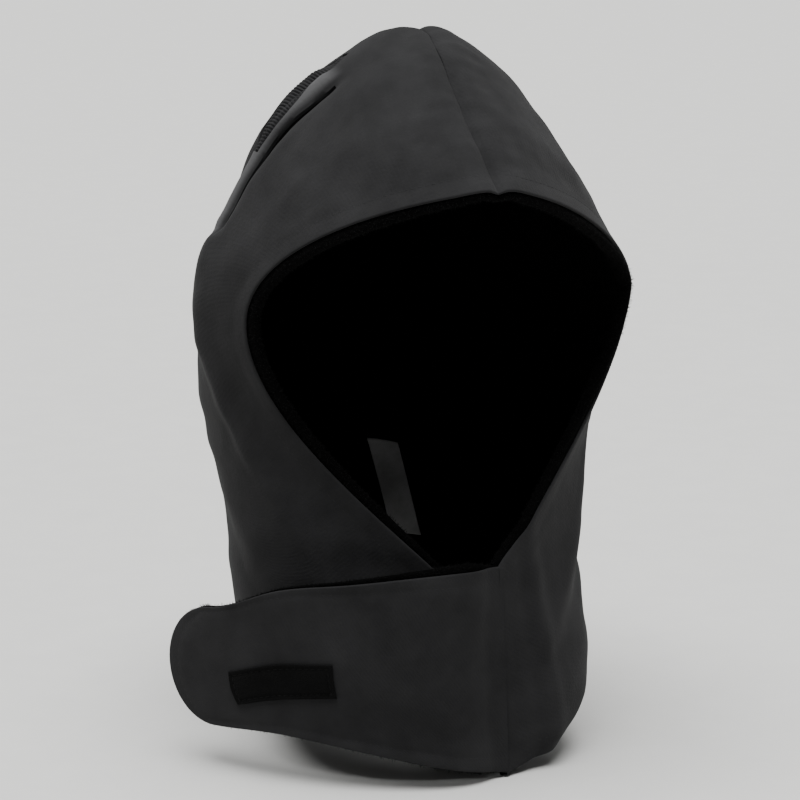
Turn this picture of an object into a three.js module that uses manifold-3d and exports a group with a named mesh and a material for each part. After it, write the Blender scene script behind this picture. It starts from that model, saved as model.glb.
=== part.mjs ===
// A hooded balaclava that is worn under a hard hat, in its worn shape, in millimetres.
// Two twill side panels meet in one seam that runs from the brow over the crown to the nape.
// A fleece lining fills the inside. A chin flap runs from the wearer's left front edge across
// the throat to the wearer's right. Each side of the crown has a slot with a ribbed gusset.
// +Z is up, the face looks along -Y, and the wearer's left is +X.
// The origin is where the top of the head meets the lining.

import * as THREE from "three";
import Module from "manifold-3d";
import { mergeVertices } from "three/addons/utils/BufferGeometryUtils.js";

const wasm = await Module();
wasm.setup();

// Driving dimensions.
const HOOD_HEIGHT = 340; // crown seam down to the front hem
const HEAD_WIDTH = 208; // over the ears, outside
const HEAD_DEPTH = 232; // brow edge to the back of the head, outside
const SHELL_WALL = 1.6; // twill
const LINING_WALL = 4.5; // fleece with its pile
const LINING_ROLL = 5; // how far the lining rolls out past the shell beside the face
const LAYER_GAP = 0.3; // between any two layers
const SEAM_GAP = 0.5; // between the two panels at the crown seam
const RIGHT_EDGE = 1; // the right panel's front edge, from the centre plane
const LEFT_EDGE = 12; // the left panel's front edge, where the flap is sewn on
const TUCK = 7; // how far the right front edge lies behind the left one

const FLAP_LENGTH = 174; // from its seam to its round tip
const FLAP_WALL = 3.2; // twill over fleece, sewn as one strap
const FLAP_SEAM_GAP = 0.4;

const SLOT_WIDTH = 4.5; // at its middle
const GUSSET_WIDTH = 20; // at its middle
const GUSSET_DEPTH = 0.5; // the rib knit lies this far below the twill
const GUSSET_GAP = 0.4; // around it
const PATCH_WALL = 1;
const LABEL_WIDTH = 18;
const LABEL_WALL = 0.5;
const LABEL_GAP = 0.6; // behind the label, for the pile

const CUT_MARGIN = 1.2; // how far a cutter reaches past the shell's two faces

const WALL = SHELL_WALL + LAYER_GAP + LINING_WALL;
const CELLS = { along: 22, at: 18 }; // facets on one side of the hood, foot to seam and face to hem

// Hoops, from the face edge (at 0) back to the hem (at 1). Each hoop is an arch across the hood
// with its foot at the throat and its top on the crown seam. topBack, footBack and bow are shares
// of the depth, topDown and the two foot columns are shares of the height. half is a share of the
// half width, sway is how far the arch's sides and drift how far its seam lie to the wearer's left,
// as shares of it too. sideAt is where along foot to top the hoop is widest. shoulder, round and
// keel shape the arch above that place, slump is how much flatter it is on the wearer's left, and
// splay, rise and fall shape it below.
const HOOPS = [
  {
    at: 0.0, topBack: -0.43, topDown: 0.184, footBack: -0.36, leftFootDown: 0.705, rightFootDown: 0.765,
    half: 0.93, sway: 0.02, drift: 0.0, sideAt: 0.63,
    shoulder: 0.42, round: 0.46, slump: 0.09, keel: 0.02,
    splay: 0.22, rise: 0.13, fall: 0.4, bow: 0.28,
  },
  {
    at: 0.12, topBack: -0.27, topDown: 0.085, footBack: -0.365, leftFootDown: 0.75, rightFootDown: 0.8,
    half: 0.95, sway: -0.02, drift: -0.03, sideAt: 0.61,
    shoulder: 0.49, round: 0.46, slump: 0.0, keel: 0.01,
    splay: 0.3, rise: 0.09, fall: 0.36, bow: 0.27,
  },
  {
    at: 0.26, topBack: 0.0, topDown: 0.0, footBack: -0.37, leftFootDown: 0.795, rightFootDown: 0.84,
    half: 0.96, sway: -0.06, drift: 0.03, sideAt: 0.58,
    shoulder: 0.37, round: 0.44, slump: 0.0, keel: -0.02,
    splay: 0.4, rise: 0.06, fall: 0.36, bow: 0.2,
  },
  {
    at: 0.42, topBack: 0.28, topDown: 0.06, footBack: -0.375, leftFootDown: 0.84, rightFootDown: 0.87,
    half: 0.93, sway: -0.05, drift: 0.03, sideAt: 0.58,
    shoulder: 0.29, round: 0.4, slump: 0.0, keel: -0.01,
    splay: 0.5, rise: 0.04, fall: 0.36, bow: 0.1,
  },
  {
    at: 0.58, topBack: 0.5, topDown: 0.25, footBack: -0.38, leftFootDown: 0.88, rightFootDown: 0.9,
    half: 0.855, sway: -0.07, drift: 0.0, sideAt: 0.56,
    shoulder: 0.42, round: 0.5, slump: 0.0, keel: 0.0,
    splay: 0.55, rise: 0.02, fall: 0.44, bow: 0.03,
  },
  {
    at: 0.74, topBack: 0.52, topDown: 0.47, footBack: -0.385, leftFootDown: 0.92, rightFootDown: 0.93,
    half: 0.8, sway: -0.04, drift: -0.02, sideAt: 0.5,
    shoulder: 0.55, round: 0.6, slump: 0.0, keel: 0.01,
    splay: 0.6, rise: 0.01, fall: 0.55, bow: 0.0,
  },
  {
    at: 0.87, topBack: 0.44, topDown: 0.7, footBack: -0.39, leftFootDown: 0.96, rightFootDown: 0.96,
    half: 0.795, sway: -0.05, drift: -0.04, sideAt: 0.48,
    shoulder: 0.55, round: 0.6, slump: 0.0, keel: 0.0,
    splay: 0.6, rise: 0.03, fall: 0.55, bow: -0.03,
  },
  {
    at: 1.0, topBack: 0.42, topDown: 0.88, footBack: -0.4, leftFootDown: 0.99, rightFootDown: 0.99,
    half: 0.74, sway: -0.055, drift: -0.05, sideAt: 0.48,
    shoulder: 0.55, round: 0.6, slump: 0.0, keel: 0.0,
    splay: 0.6, rise: 0.1, fall: 0.55, bow: -0.07,
  },
];

/** One column of a table, smoothed through its rows at a place from 0 to 1. */
function column(rows, name, at) {
  const last = rows.length - 1;
  let i = 0;
  while (i < last - 1 && at > rows[i + 1].at) i += 1;
  const slope = (k) => {
    const a = rows[Math.max(k - 1, 0)];
    const b = rows[Math.min(k + 1, last)];
    return (b[name] - a[name]) / (b.at - a.at);
  };
  const span = rows[i + 1].at - rows[i].at;
  const t = Math.min(Math.max((at - rows[i].at) / span, 0), 1);
  const t2 = t * t;
  const t3 = t2 * t;
  return (
    (2 * t3 - 3 * t2 + 1) * rows[i][name] +
    (t3 - 2 * t2 + t) * span * slope(i) +
    (-2 * t3 + 3 * t2) * rows[i + 1][name] +
    (t3 - t2) * span * slope(i + 1)
  );
}

const SIDES = {
  right: { sign: -1, foot: "rightFootDown", edge: RIGHT_EDGE, tuck: TUCK },
  left: { sign: 1, foot: "leftFootDown", edge: LEFT_EDGE, tuck: 0 },
};
const SPLIT = 0.45; // the share of a hoop's parameter that lies below its widest point
const EDGE_ROLL = 0.2; // the share of the lining's roll left at the throat and the brow
const FOOT_BOW = 0.27; // how much of a hoop's bow its foot already has

/** A point on the hood's outer face: along goes from foot (0) to seam (1), at from face edge to hem. */
function hoodPoint(side, along, at, seam = SEAM_GAP / 2) {
  const value = (name) => column(HOOPS, name, at);
  const footBack = value("footBack") * HEAD_DEPTH + side.tuck;
  const foot = new THREE.Vector2(footBack, WALL - value(side.foot) * HOOD_HEIGHT);
  const top = new THREE.Vector2(value("topBack") * HEAD_DEPTH, WALL - value("topDown") * HOOD_HEIGHT);
  const chord = top.clone().sub(foot);
  const length = chord.length();
  const up = chord.clone().divideScalar(length);
  const back = new THREE.Vector2(up.y, -up.x);
  const half = ((value("half") + side.sign * value("sway")) * HEAD_WIDTH) / 2;
  const middle = value("sideAt") * length;
  const bow = value("bow") * HEAD_DEPTH;
  const crest = seam + (side.sign * value("drift") * HEAD_WIDTH) / 2;
  const slump = side.sign * value("slump");
  const widest = new THREE.Vector3(half, middle, bow);
  let curve;
  let t;
  if (along < SPLIT) {
    t = along / SPLIT;
    curve = new THREE.CubicBezierCurve3(
      new THREE.Vector3(side.edge, 0, 0),
      new THREE.Vector3(side.edge + value("splay") * half, value("rise") * length, FOOT_BOW * bow),
      new THREE.Vector3(half, middle * (1 - value("fall")), bow),
      widest,
    );
  } else {
    t = (along - SPLIT) / (1 - SPLIT);
    curve = new THREE.CubicBezierCurve3(
      widest,
      new THREE.Vector3(half, middle + (value("shoulder") - slump) * (length - middle), bow),
      new THREE.Vector3(crest + (value("round") - slump) * (half - crest), length * (1 - value("keel")), 0),
      new THREE.Vector3(crest, length, 0),
    );
  }
  const local = curve.getPoint(t);
  const plane = foot.clone().addScaledVector(up, local.y).addScaledVector(back, local.z);
  return new THREE.Vector3(side.sign * local.x, plane.x, plane.y);
}

const STEP = 1e-3;

/** The outward normal of one side's face. */
function faceNormal(side, along, at) {
  const a0 = Math.max(along - STEP, 0);
  const a1 = Math.min(along + STEP, 1);
  const b0 = Math.max(at - STEP, 0);
  const b1 = Math.min(at + STEP, 1);
  const across = hoodPoint(side, a1, at).sub(hoodPoint(side, a0, at));
  const down = hoodPoint(side, along, b1).sub(hoodPoint(side, along, b0));
  return across.cross(down).multiplyScalar(-side.sign).normalize();
}

/** The outward normal of the hood: both sides share it at the seam, and it is square to the front edges. */
function hoodNormal(side, along, at) {
  if (along >= 1) return faceNormal(SIDES.right, 1, at).add(faceNormal(SIDES.left, 1, at)).normalize();
  const normal = faceNormal(side, along, at);
  if (along <= 0) normal.setX(0).normalize();
  return normal;
}

/** Closes two grids of points, an outer and an inner one, into one solid sheet. */
function sheet(columns, rows, outer, inner) {
  const positions = [];
  for (const face of [outer, inner]) {
    for (let i = 0; i <= columns; i += 1) {
      for (let j = 0; j <= rows; j += 1) positions.push(...face(i / columns, j / rows).toArray());
    }
  }
  const layer = (columns + 1) * (rows + 1);
  const at = (i, j, side) => side * layer + i * (rows + 1) + j;
  const index = [];
  const quad = (a, b, c, d) => index.push(a, b, c, a, c, d);
  for (let i = 0; i < columns; i += 1) {
    for (let j = 0; j < rows; j += 1) {
      quad(at(i, j, 0), at(i + 1, j, 0), at(i + 1, j + 1, 0), at(i, j + 1, 0));
      quad(at(i, j, 1), at(i, j + 1, 1), at(i + 1, j + 1, 1), at(i + 1, j, 1));
    }
  }
  for (let i = 0; i < columns; i += 1) {
    quad(at(i, 0, 0), at(i, 0, 1), at(i + 1, 0, 1), at(i + 1, 0, 0));
    quad(at(i, rows, 0), at(i + 1, rows, 0), at(i + 1, rows, 1), at(i, rows, 1));
  }
  for (let j = 0; j < rows; j += 1) {
    quad(at(0, j, 0), at(0, j + 1, 0), at(0, j + 1, 1), at(0, j, 1));
    quad(at(columns, j, 0), at(columns, j, 1), at(columns, j + 1, 1), at(columns, j + 1, 0));
  }
  const geometry = new THREE.BufferGeometry();
  geometry.setAttribute("position", new THREE.Float32BufferAttribute(positions, 3));
  geometry.setIndex(index);
  return facingOut(geometry);
}

/** The same closed geometry with its faces pointing out. */
function facingOut(geometry) {
  const p = geometry.getAttribute("position");
  const index = geometry.getIndex();
  let volume = 0;
  const [a, b, c] = [new THREE.Vector3(), new THREE.Vector3(), new THREE.Vector3()];
  for (let i = 0; i < index.count; i += 3) {
    a.fromBufferAttribute(p, index.getX(i));
    b.fromBufferAttribute(p, index.getX(i + 1));
    c.fromBufferAttribute(p, index.getX(i + 2));
    volume += a.dot(b.cross(c)) / 6;
  }
  if (volume < 0) {
    for (let i = 0; i < index.count; i += 3) {
      const first = index.getX(i);
      index.setX(i, index.getX(i + 1));
      index.setX(i + 1, first);
    }
  }
  geometry.computeVertexNormals();
  return geometry;
}

/** A layer of the hood on one side, between two depths under its outer face. */
function hoodLayer(side, columns, rows, outerDepth, innerDepth) {
  const face = (depth) => (across, at) => {
    const along = side.sign < 0 ? across : 1 - across;
    return hoodPoint(side, along, at).addScaledVector(hoodNormal(side, along, at), -depth);
  };
  return sheet(columns, rows, face(outerDepth), face(innerDepth));
}

/** The lining runs over the crown from one front edge to the other, and rolls out past the shell. */
function liningGeometry(columns, rows) {
  const face = (depth) => (across, down) => {
    const side = across < 0.5 ? SIDES.right : SIDES.left;
    const along = across < 0.5 ? across * 2 : 2 - across * 2;
    const row = Math.round(down * (rows + 1)); // row 0 is the roll, row 1 lies at the shell's edge
    const at = Math.max(row - 1, 0) / rows;
    const point = hoodPoint(side, along, at, 0).addScaledVector(hoodNormal(side, along, at), -depth);
    if (row > 0) return point;
    const out = hoodPoint(side, along, 0).sub(hoodPoint(side, along, STEP)).normalize();
    const share = EDGE_ROLL + (1 - EDGE_ROLL) * Math.sin(Math.PI * along);
    return point.addScaledVector(out, LINING_ROLL * share);
  };
  return sheet(columns, rows + 1, face(SHELL_WALL + LAYER_GAP), face(WALL));
}

// The flap from its seam (at 0) to where its tip turns round (at 1). out and back are its centre
// line seen from above, as shares of the hood's half width and depth. top and low are how far its
// two edges lie above where they start, as shares of its height at the seam.
const FLAP = [
  { at: 0.0, out: 0.0, back: 0.0, top: 0.0, low: 0.0 },
  { at: 0.25, out: -0.36, back: -0.018, top: 0.01, low: 0.09 },
  { at: 0.5, out: -0.7, back: 0.03, top: -0.025, low: 0.175 },
  { at: 0.75, out: -0.98, back: 0.12, top: -0.08, low: 0.22 },
  { at: 1.0, out: -1.2, back: 0.24, top: -0.215, low: 0.2 },
  { at: 1.24, out: -1.37, back: 0.36, top: -0.215, low: 0.2 },
];

/** A point of the flap: along goes from seam to tip, up from bottom to top, depth in from its face. */
function flapPoint(along, up, depth) {
  const lerp = THREE.MathUtils.lerp;
  const top = hoodPoint(SIDES.left, 0, 0);
  const hem = hoodPoint(SIDES.left, 0, 1);
  const height = top.z - hem.z;
  const edge = (share, name) => column(FLAP, name, Math.min(share, 1)) * height;
  const radius = (height + edge(1, "top") - edge(1, "low")) / 2;
  const body = FLAP_LENGTH - radius;
  const turn = (up - 0.5) * Math.PI;
  const share = lerp(FLAP_SEAM_GAP, body + radius * Math.cos(turn), along) / body;
  const level = lerp(up, (1 + Math.sin(turn)) / 2, along);
  const z = lerp(hem.z + edge(share, "low"), top.z + edge(share, "top"), level);
  const seen = (at) =>
    new THREE.Vector2(
      (column(FLAP, "out", at) * HEAD_WIDTH) / 2,
      column(FLAP, "back", at) * HEAD_DEPTH,
    );
  const centre = seen(share);
  const tangent = seen(share + STEP).sub(seen(Math.max(share - STEP, 0))).normalize();
  const lean = Math.max(1 - share, 0) * ((top.y - hem.y) / height) * (z - top.z);
  return new THREE.Vector3(
    top.x + centre.x + tangent.y * depth,
    top.y + centre.y + lean - tangent.x * depth,
    z,
  );
}

// The stitched patch on the flap's face, as shares of the flap's run and height.
const PATCH = {
  rootAlong: 0.475, rootLow: 0.345, rootHigh: 0.515,
  tipAlong: 0.78, tipLow: 0.275, tipHigh: 0.475,
};

// Narrow shapes on the hood's face, each from its lower end to its upper end. along and at place
// the two ends on the face, and ends is the share of the width that is left at the ends.
const STRIPS = {
  slot: { lowAlong: 0.593, lowAt: 0.235, highAlong: 0.826, highAt: 0.222, width: SLOT_WIDTH, ends: 0.9 },
  gusset: { lowAlong: 0.7, lowAt: 0.27, highAlong: 0.87, highAt: 0.28, width: GUSSET_WIDTH, ends: 0.5 },
  label: { lowAlong: 0.85, lowAt: 0.923, highAlong: 0.905, highAt: 0.835, width: LABEL_WIDTH, ends: 1 },
};

/** A face of a strip, grown by a margin, at a depth below the hood's face. */
function stripFace(side, strip, grow, depth) {
  const lerp = THREE.MathUtils.lerp;
  const low = hoodPoint(side, strip.lowAlong, strip.lowAt);
  const high = hoodPoint(side, strip.highAlong, strip.highAt);
  const stretch = grow / low.distanceTo(high);
  return (s, t) => {
    const up = lerp(-stretch, 1 + stretch, s);
    const along = lerp(strip.lowAlong, strip.highAlong, up);
    const at = lerp(strip.lowAt, strip.highAt, up);
    const full = Math.sin(Math.PI * THREE.MathUtils.clamp(up, 0, 1));
    const across = (strip.width * lerp(strip.ends, 1, full) + 2 * grow) * (t - 0.5);
    const p = hoodPoint(side, along, at);
    const scale = hoodPoint(side, along, at + STEP).distanceTo(p) / STEP;
    const place = at + across / scale;
    return hoodPoint(side, along, place).addScaledVector(hoodNormal(side, along, place), -depth);
  };
}

/** A strip as a solid between two depths. */
function stripGeometry(side, strip, cells, grow, outerDepth, innerDepth) {
  return sheet(cells, 4, stripFace(side, strip, grow, outerDepth), stripFace(side, strip, grow, innerDepth));
}

/** The label hangs upright, its width level, in front of the lining at the nape. */
function labelGeometry() {
  const { left } = SIDES;
  const strip = STRIPS.label;
  const face = (depth) => (s, t) => {
    const at = THREE.MathUtils.lerp(strip.lowAt, strip.highAt, s);
    const middle = THREE.MathUtils.lerp(strip.lowAlong, strip.highAlong, s);
    const scale = hoodPoint(left, middle + STEP, at).distanceTo(hoodPoint(left, middle, at)) / STEP;
    const along = middle + (strip.width * (t - 0.5)) / scale;
    return hoodPoint(left, along, at).addScaledVector(hoodNormal(left, along, at), -depth);
  };
  return sheet(4, 4, face(WALL + LABEL_GAP), face(WALL + LABEL_GAP + LABEL_WALL));
}

/** Cuts solids out of another one. */
function cut(geometry, cutters) {
  const solid = cutters.reduce((left, cutter) => left.subtract(toManifold(cutter)), toManifold(geometry));
  return fromManifold(solid);
}

function toManifold(geometry) {
  const bare = geometry.clone();
  bare.deleteAttribute("normal");
  const merged = mergeVertices(bare, 1e-4);
  const mesh = new wasm.Mesh({
    numProp: 3,
    vertProperties: new Float32Array(merged.getAttribute("position").array),
    triVerts: new Uint32Array(merged.getIndex().array),
  });
  return new wasm.Manifold(mesh);
}

function fromManifold(solid) {
  const mesh = solid.getMesh();
  const geometry = new THREE.BufferGeometry();
  geometry.setAttribute("position", new THREE.Float32BufferAttribute(mesh.vertProperties, 3));
  geometry.setIndex(new THREE.Uint32BufferAttribute(mesh.triVerts, 1));
  geometry.computeVertexNormals();
  return geometry;
}

/** One side of the shell, with its slot and the window of its rib gusset cut through. */
function panelGeometry(side) {
  const panel = hoodLayer(side, CELLS.along, CELLS.at, 0, SHELL_WALL);
  const through = [-CUT_MARGIN, SHELL_WALL + CUT_MARGIN];
  const slot = stripGeometry(side, STRIPS.slot, 8, 0, ...through);
  const window = stripGeometry(side, STRIPS.gusset, 6, GUSSET_GAP, ...through);
  return cut(panel, [slot, window]);
}

/** The stitched patch, a small gap in front of the flap's face. */
function patchGeometry() {
  const lerp = THREE.MathUtils.lerp;
  const face = (depth) => (s, t) => {
    const along = lerp(PATCH.rootAlong, PATCH.tipAlong, s);
    const up = lerp(lerp(PATCH.rootLow, PATCH.tipLow, s), lerp(PATCH.rootHigh, PATCH.tipHigh, s), t);
    return flapPoint(along, up, depth);
  };
  return sheet(8, 3, face(-LAYER_GAP - PATCH_WALL), face(-LAYER_GAP));
}

const COLOURS = {
  twill: 0x2b2b2c,
  fleece: 0x050505,
  knit: 0x1b1b1c,
  tape: 0x0e0e0f,
  satin: 0x3a3a3a,
};

function material(colour, roughness) {
  return new THREE.MeshStandardMaterial({ color: colour, roughness, metalness: 0 });
}

const twill = material(COLOURS.twill, 0.9);
const fleece = material(COLOURS.fleece, 1.0);
const knit = material(COLOURS.knit, 0.95);
const tape = material(COLOURS.tape, 0.85);
const satin = material(COLOURS.satin, 0.45);

const group = new THREE.Group();

function add(name, geometry, finish) {
  const mesh = new THREE.Mesh(geometry, finish);
  mesh.name = name;
  group.add(mesh);
}

for (const [name, side] of Object.entries(SIDES)) {
  add(`${name}_panel`, panelGeometry(side), twill);
  const gusset = stripGeometry(side, STRIPS.gusset, 6, 0, GUSSET_DEPTH, SHELL_WALL);
  add(`${name}_rib_gusset`, gusset, knit);
}
add("lining", liningGeometry(2 * CELLS.along, CELLS.at), fleece);
add("chin_flap", sheet(20, 8, (s, t) => flapPoint(s, t, 0), (s, t) => flapPoint(s, t, FLAP_WALL)), twill);
add("closure_patch", patchGeometry(), tape);
add("care_label", labelGeometry(), satin);

export default group;
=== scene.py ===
"""A hooded balaclava worn under a hard hat: two twill side panels, a fleece lining, a wrap-over chin
flap with its closure patch, ribbed gussets beside the slots of the crown, and a care label."""

import logging
import math
from collections.abc import Sequence
from dataclasses import dataclass, field, replace
from enum import Enum

import bpy
import numpy as np
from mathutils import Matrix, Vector, noise


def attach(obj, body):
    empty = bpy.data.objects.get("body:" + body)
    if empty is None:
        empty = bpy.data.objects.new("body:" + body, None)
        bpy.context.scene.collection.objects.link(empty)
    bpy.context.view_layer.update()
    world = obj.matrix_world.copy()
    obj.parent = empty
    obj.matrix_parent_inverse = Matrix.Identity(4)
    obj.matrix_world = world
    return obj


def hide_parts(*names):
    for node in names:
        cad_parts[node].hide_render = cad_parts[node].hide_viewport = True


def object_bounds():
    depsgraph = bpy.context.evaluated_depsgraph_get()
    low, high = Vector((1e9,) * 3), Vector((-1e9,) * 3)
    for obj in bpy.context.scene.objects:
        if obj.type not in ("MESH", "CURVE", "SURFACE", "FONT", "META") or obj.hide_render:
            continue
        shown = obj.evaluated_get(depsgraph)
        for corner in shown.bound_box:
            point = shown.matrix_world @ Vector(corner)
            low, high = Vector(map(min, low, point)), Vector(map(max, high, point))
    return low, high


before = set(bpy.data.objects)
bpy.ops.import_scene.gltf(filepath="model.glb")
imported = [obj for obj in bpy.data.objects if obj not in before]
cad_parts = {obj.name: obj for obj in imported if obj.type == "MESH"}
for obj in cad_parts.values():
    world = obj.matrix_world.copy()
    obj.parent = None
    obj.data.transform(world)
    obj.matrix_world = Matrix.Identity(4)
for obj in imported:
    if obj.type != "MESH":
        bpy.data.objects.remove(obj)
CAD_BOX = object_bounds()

LOG = logging.getLogger("balaclava")
BODY = "root"
MM = 0.001
# Size of the faint blotches in every finish
BLOTCH_MM = 26.0

Grid = np.ndarray
Tree = bpy.types.NodeTree
Node = bpy.types.Node
Socket = bpy.types.NodeSocket


class Side(Enum):
    """One side of the hood, as the wearer has it. The value is the sign of its X."""

    RIGHT = -1
    LEFT = 1


class Hold(Enum):
    """How a piece of cloth is held in its worn shape."""

    STRETCHED = "stretched"
    HUNG = "hung"
    LAID = "laid"


# Colour and shader helpers


def linear(colour: str) -> tuple[float, float, float, float]:
    """Turns an sRGB hex colour into linear values.

    Args:
        colour: The colour as six hex digits after a hash.

    Returns:
        Linear red, green, blue and an alpha of one.
    """
    parts = [int(colour[i : i + 2], 16) / 255 for i in (1, 3, 5)]
    parts = [c / 12.92 if c <= 0.04045 else ((c + 0.055) / 1.055) ** 2.4 for c in parts]
    return (parts[0], parts[1], parts[2], 1.0)


def add(tree: Tree, kind: str, settings: dict | None = None, inputs: dict | None = None) -> Node:
    """Adds a node with its settings, values and links.

    Args:
        tree: The tree that takes the node.
        kind: The node's type name.
        settings: Properties of the node.
        inputs: A value, or the output socket to link, for each input by name or number.

    Returns:
        The new node.
    """
    node = tree.nodes.new(kind)
    for key, value in (settings or {}).items():
        setattr(node, key, value)
    for key, value in (inputs or {}).items():
        if isinstance(value, Socket):
            tree.links.new(value, node.inputs[key])
        else:
            node.inputs[key].default_value = value
    return node


def per_metre(pitch_mm: float) -> float:
    """The noise or cell scale that repeats about once in the given millimetres."""
    return 1000.0 / pitch_mm


def wave_scale(pitch_mm: float) -> float:
    """The scale of a wave texture whose bands lie the given millimetres apart."""
    return 2 * math.pi / (20 * pitch_mm * MM)
def calc(tree: Tree, operation: str, *values: Socket | float) -> Socket:
    """The result of one step of arithmetic on numbers or outputs."""
    return add(tree, "ShaderNodeMath", {"operation": operation}, dict(enumerate(values))).outputs["Value"]


def grain(tree: Tree, place: Node, size_mm: float, detail: float, roughness: float) -> Socket:
    """Fine noise over the object's own coordinates, its grain given in millimetres."""
    inputs = {
        "Vector": place.outputs["Object"],
        "Scale": per_metre(size_mm),
        "Detail": detail,
        "Roughness": roughness,
    }
    return add(tree, "ShaderNodeTexNoise", inputs=inputs).outputs["Fac"]


def mix_colours(tree: Tree, factor: Socket, first: Socket | tuple, second: Socket | tuple) -> Socket:
    """A colour between two, by a factor from 0 to 1."""
    inputs = {"Factor": factor, "A": first, "B": second}
    return add(tree, "ShaderNodeMix", {"data_type": "RGBA"}, inputs).outputs[2]


def bump(
    tree: Tree,
    height: Socket,
    strength: float,
    depth_mm: float,
    under: Socket | None = None,
    invert: bool = False,
) -> Socket:
    """Adds a bump to a finish.

    Args:
        tree: The finish's tree.
        height: The output that gives the bump's height.
        strength: Share of it that shows.
        depth_mm: Its real depth.
        under: The normal of a bump that it lies on.
        invert: Whether high values sink in.

    Returns:
        The normal that it gives.
    """
    inputs = {"Height": height, "Strength": strength, "Distance": depth_mm * MM}
    if under:
        inputs["Normal"] = under
    return add(tree, "ShaderNodeBump", {"invert": invert}, inputs).outputs["Normal"]

@dataclass(frozen=True)
class Finish:
    """A surface finish. Each kind adds its own nodes in dress().

    Attributes:
        name: What the real material is and how it was made.
        colour: Its darker colour, as sRGB hex.
        light: Its lighter colour, as sRGB hex.
        roughness: Microfacet roughness.
        sheen: Weight of the fibre ends that catch light at a grazing angle.
        gloss: Level of the smooth reflection, from 0 to 1.
        fibre: Colour of those fibre ends, as sRGB hex.
    """

    name: str
    colour: str
    light: str
    roughness: float
    sheen: float
    gloss: float
    fibre: str = "#000000"

    def material(self) -> bpy.types.Material:
        """Builds the material once and gives it back after that."""
        made = bpy.data.materials.get(self.name)
        if made:
            return made
        made = bpy.data.materials.new(self.name)
        made.use_nodes = True
        tree = made.node_tree
        tree.nodes.clear()
        place = add(tree, "ShaderNodeTexCoord")
        blotch = grain(tree, place, BLOTCH_MM, 6.0, 0.65)
        spread = add(tree, "ShaderNodeMapRange", inputs={"Value": blotch, "From Min": 0.32, "From Max": 0.68})
        tint = mix_colours(tree, spread.outputs["Result"], linear(self.colour), linear(self.light))
        shader = add(
            tree,
            "ShaderNodeBsdfPrincipled",
            inputs={
                "Base Color": tint,
                "Roughness": self.roughness,
                "Sheen Weight": self.sheen,
                "Sheen Roughness": 0.5,
                "Sheen Tint": linear(self.fibre),
                "Specular IOR Level": self.gloss,
            },
        )
        self.dress(tree, place, tint, shader)
        out = add(tree, "ShaderNodeOutputMaterial")
        tree.links.new(shader.outputs["BSDF"], out.inputs["Surface"])
        return made

    def dress(self, tree: Tree, place: Node, tint: Socket, shader: Node) -> None:
        """Adds what is particular to this finish. The plain finish adds nothing."""


@dataclass(frozen=True)
class TwillFinish(Finish):
    """Brushed cotton twill: a dull face with fine diagonal ribs and a soft, slightly uneven hand.

    Attributes:
        rib_mm: Spacing of the diagonal ribs. Real ribs lie 0.5 mm apart, too fine to show, so
            they are drawn three times as coarse.
        rib_slant: Their angle to the warp, in degrees.
        lip: Colour painted on the smooth lip behind a slot, a painted highlight where the raised lip catches
            the light.
    """

    rib_mm: float = 1.5
    rib_slant: float = 38.0
    # The lip's colour is a painted highlight, lighter than the twill where the raised lip catches the light.
    lip: str = "#4a4a4b"

    def dress(self, tree: Tree, place: Node, tint: Socket, shader: Node) -> None:
        """Adds the diagonal ribs and the brushed nap as two bumps, and the painted highlight on the lip."""
        self.paint_lip_highlight(tree, tint, shader)
        slant = (0, 0, math.radians(self.rib_slant))
        turned = add(tree, "ShaderNodeMapping", inputs={"Vector": place.outputs["UV"], "Rotation": slant})
        ribs = add(
            tree,
            "ShaderNodeTexWave",
            {"bands_direction": "X"},
            {
                "Vector": turned.outputs["Vector"],
                "Scale": wave_scale(self.rib_mm),
                "Distortion": 1.2,
                "Detail": 2.0,
            },
        )
        nap = grain(tree, place, 1.6, 5.0, 0.7)
        fine = bump(tree, ribs.outputs["Fac"], 0.25, 0.12, bump(tree, nap, 0.55, 0.5))
        tree.links.new(fine, shader.inputs["Normal"])
        worn = {"Value": nap, "To Min": self.roughness - 0.08, "To Max": self.roughness + 0.05}
        wear = add(tree, "ShaderNodeMapRange", inputs=worn)
        tree.links.new(wear.outputs["Result"], shader.inputs["Roughness"])

    def paint_lip_highlight(self, tree: Tree, tint: Socket, shader: Node) -> None:
        """Mixes in the lip's painted highlight by the slot map: distance behind the slot, and share of the
        lip.
        """
        slot = add(tree, "ShaderNodeUVMap", {"uv_map": "slot"})
        split = add(tree, "ShaderNodeSeparateXYZ", inputs={"Vector": slot.outputs["UV"]})
        shares = [
            add(
                tree,
                "ShaderNodeMapRange",
                {"interpolation_type": "SMOOTHSTEP"},
                {"Value": split.outputs["X"], "From Min": low * MM, "From Max": high * MM},
            ).outputs["Result"]
            for low, high in ((2.5, 6.0), (15.0, 10.0))
        ]
        both = calc(tree, "MULTIPLY", shares[0], shares[1])
        highlight_share = calc(tree, "MULTIPLY", both, split.outputs["Y"])
        # Painted highlight: the lip behind the slot is made lighter in colour.
        pale = mix_colours(tree, highlight_share, tint, linear(self.lip))
        tree.links.new(pale, shader.inputs["Base Color"])


@dataclass(frozen=True)
class FleeceFinish(Finish):
    """Knitted pile fleece: deep and dull, in small soft clumps that swallow the light.

    Attributes:
        clump_mm: Size of the pile's clumps.
    """

    clump_mm: float = 4.0

    def dress(self, tree: Tree, place: Node, tint: Socket, shader: Node) -> None:
        """Adds the clumps and their fibres as bumps."""
        clumps = add(
            tree,
            "ShaderNodeTexVoronoi",
            {"feature": "SMOOTH_F1"},
            {"Vector": place.outputs["Object"], "Scale": per_metre(self.clump_mm), "Smoothness": 0.6},
        )
        deep = bump(tree, clumps.outputs["Distance"], 0.9, 1.4, invert=True)
        hairy = bump(tree, grain(tree, place, 0.9, 6.0, 0.8), 0.8, 0.6, deep)
        tree.links.new(hairy, shader.inputs["Normal"])


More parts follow.
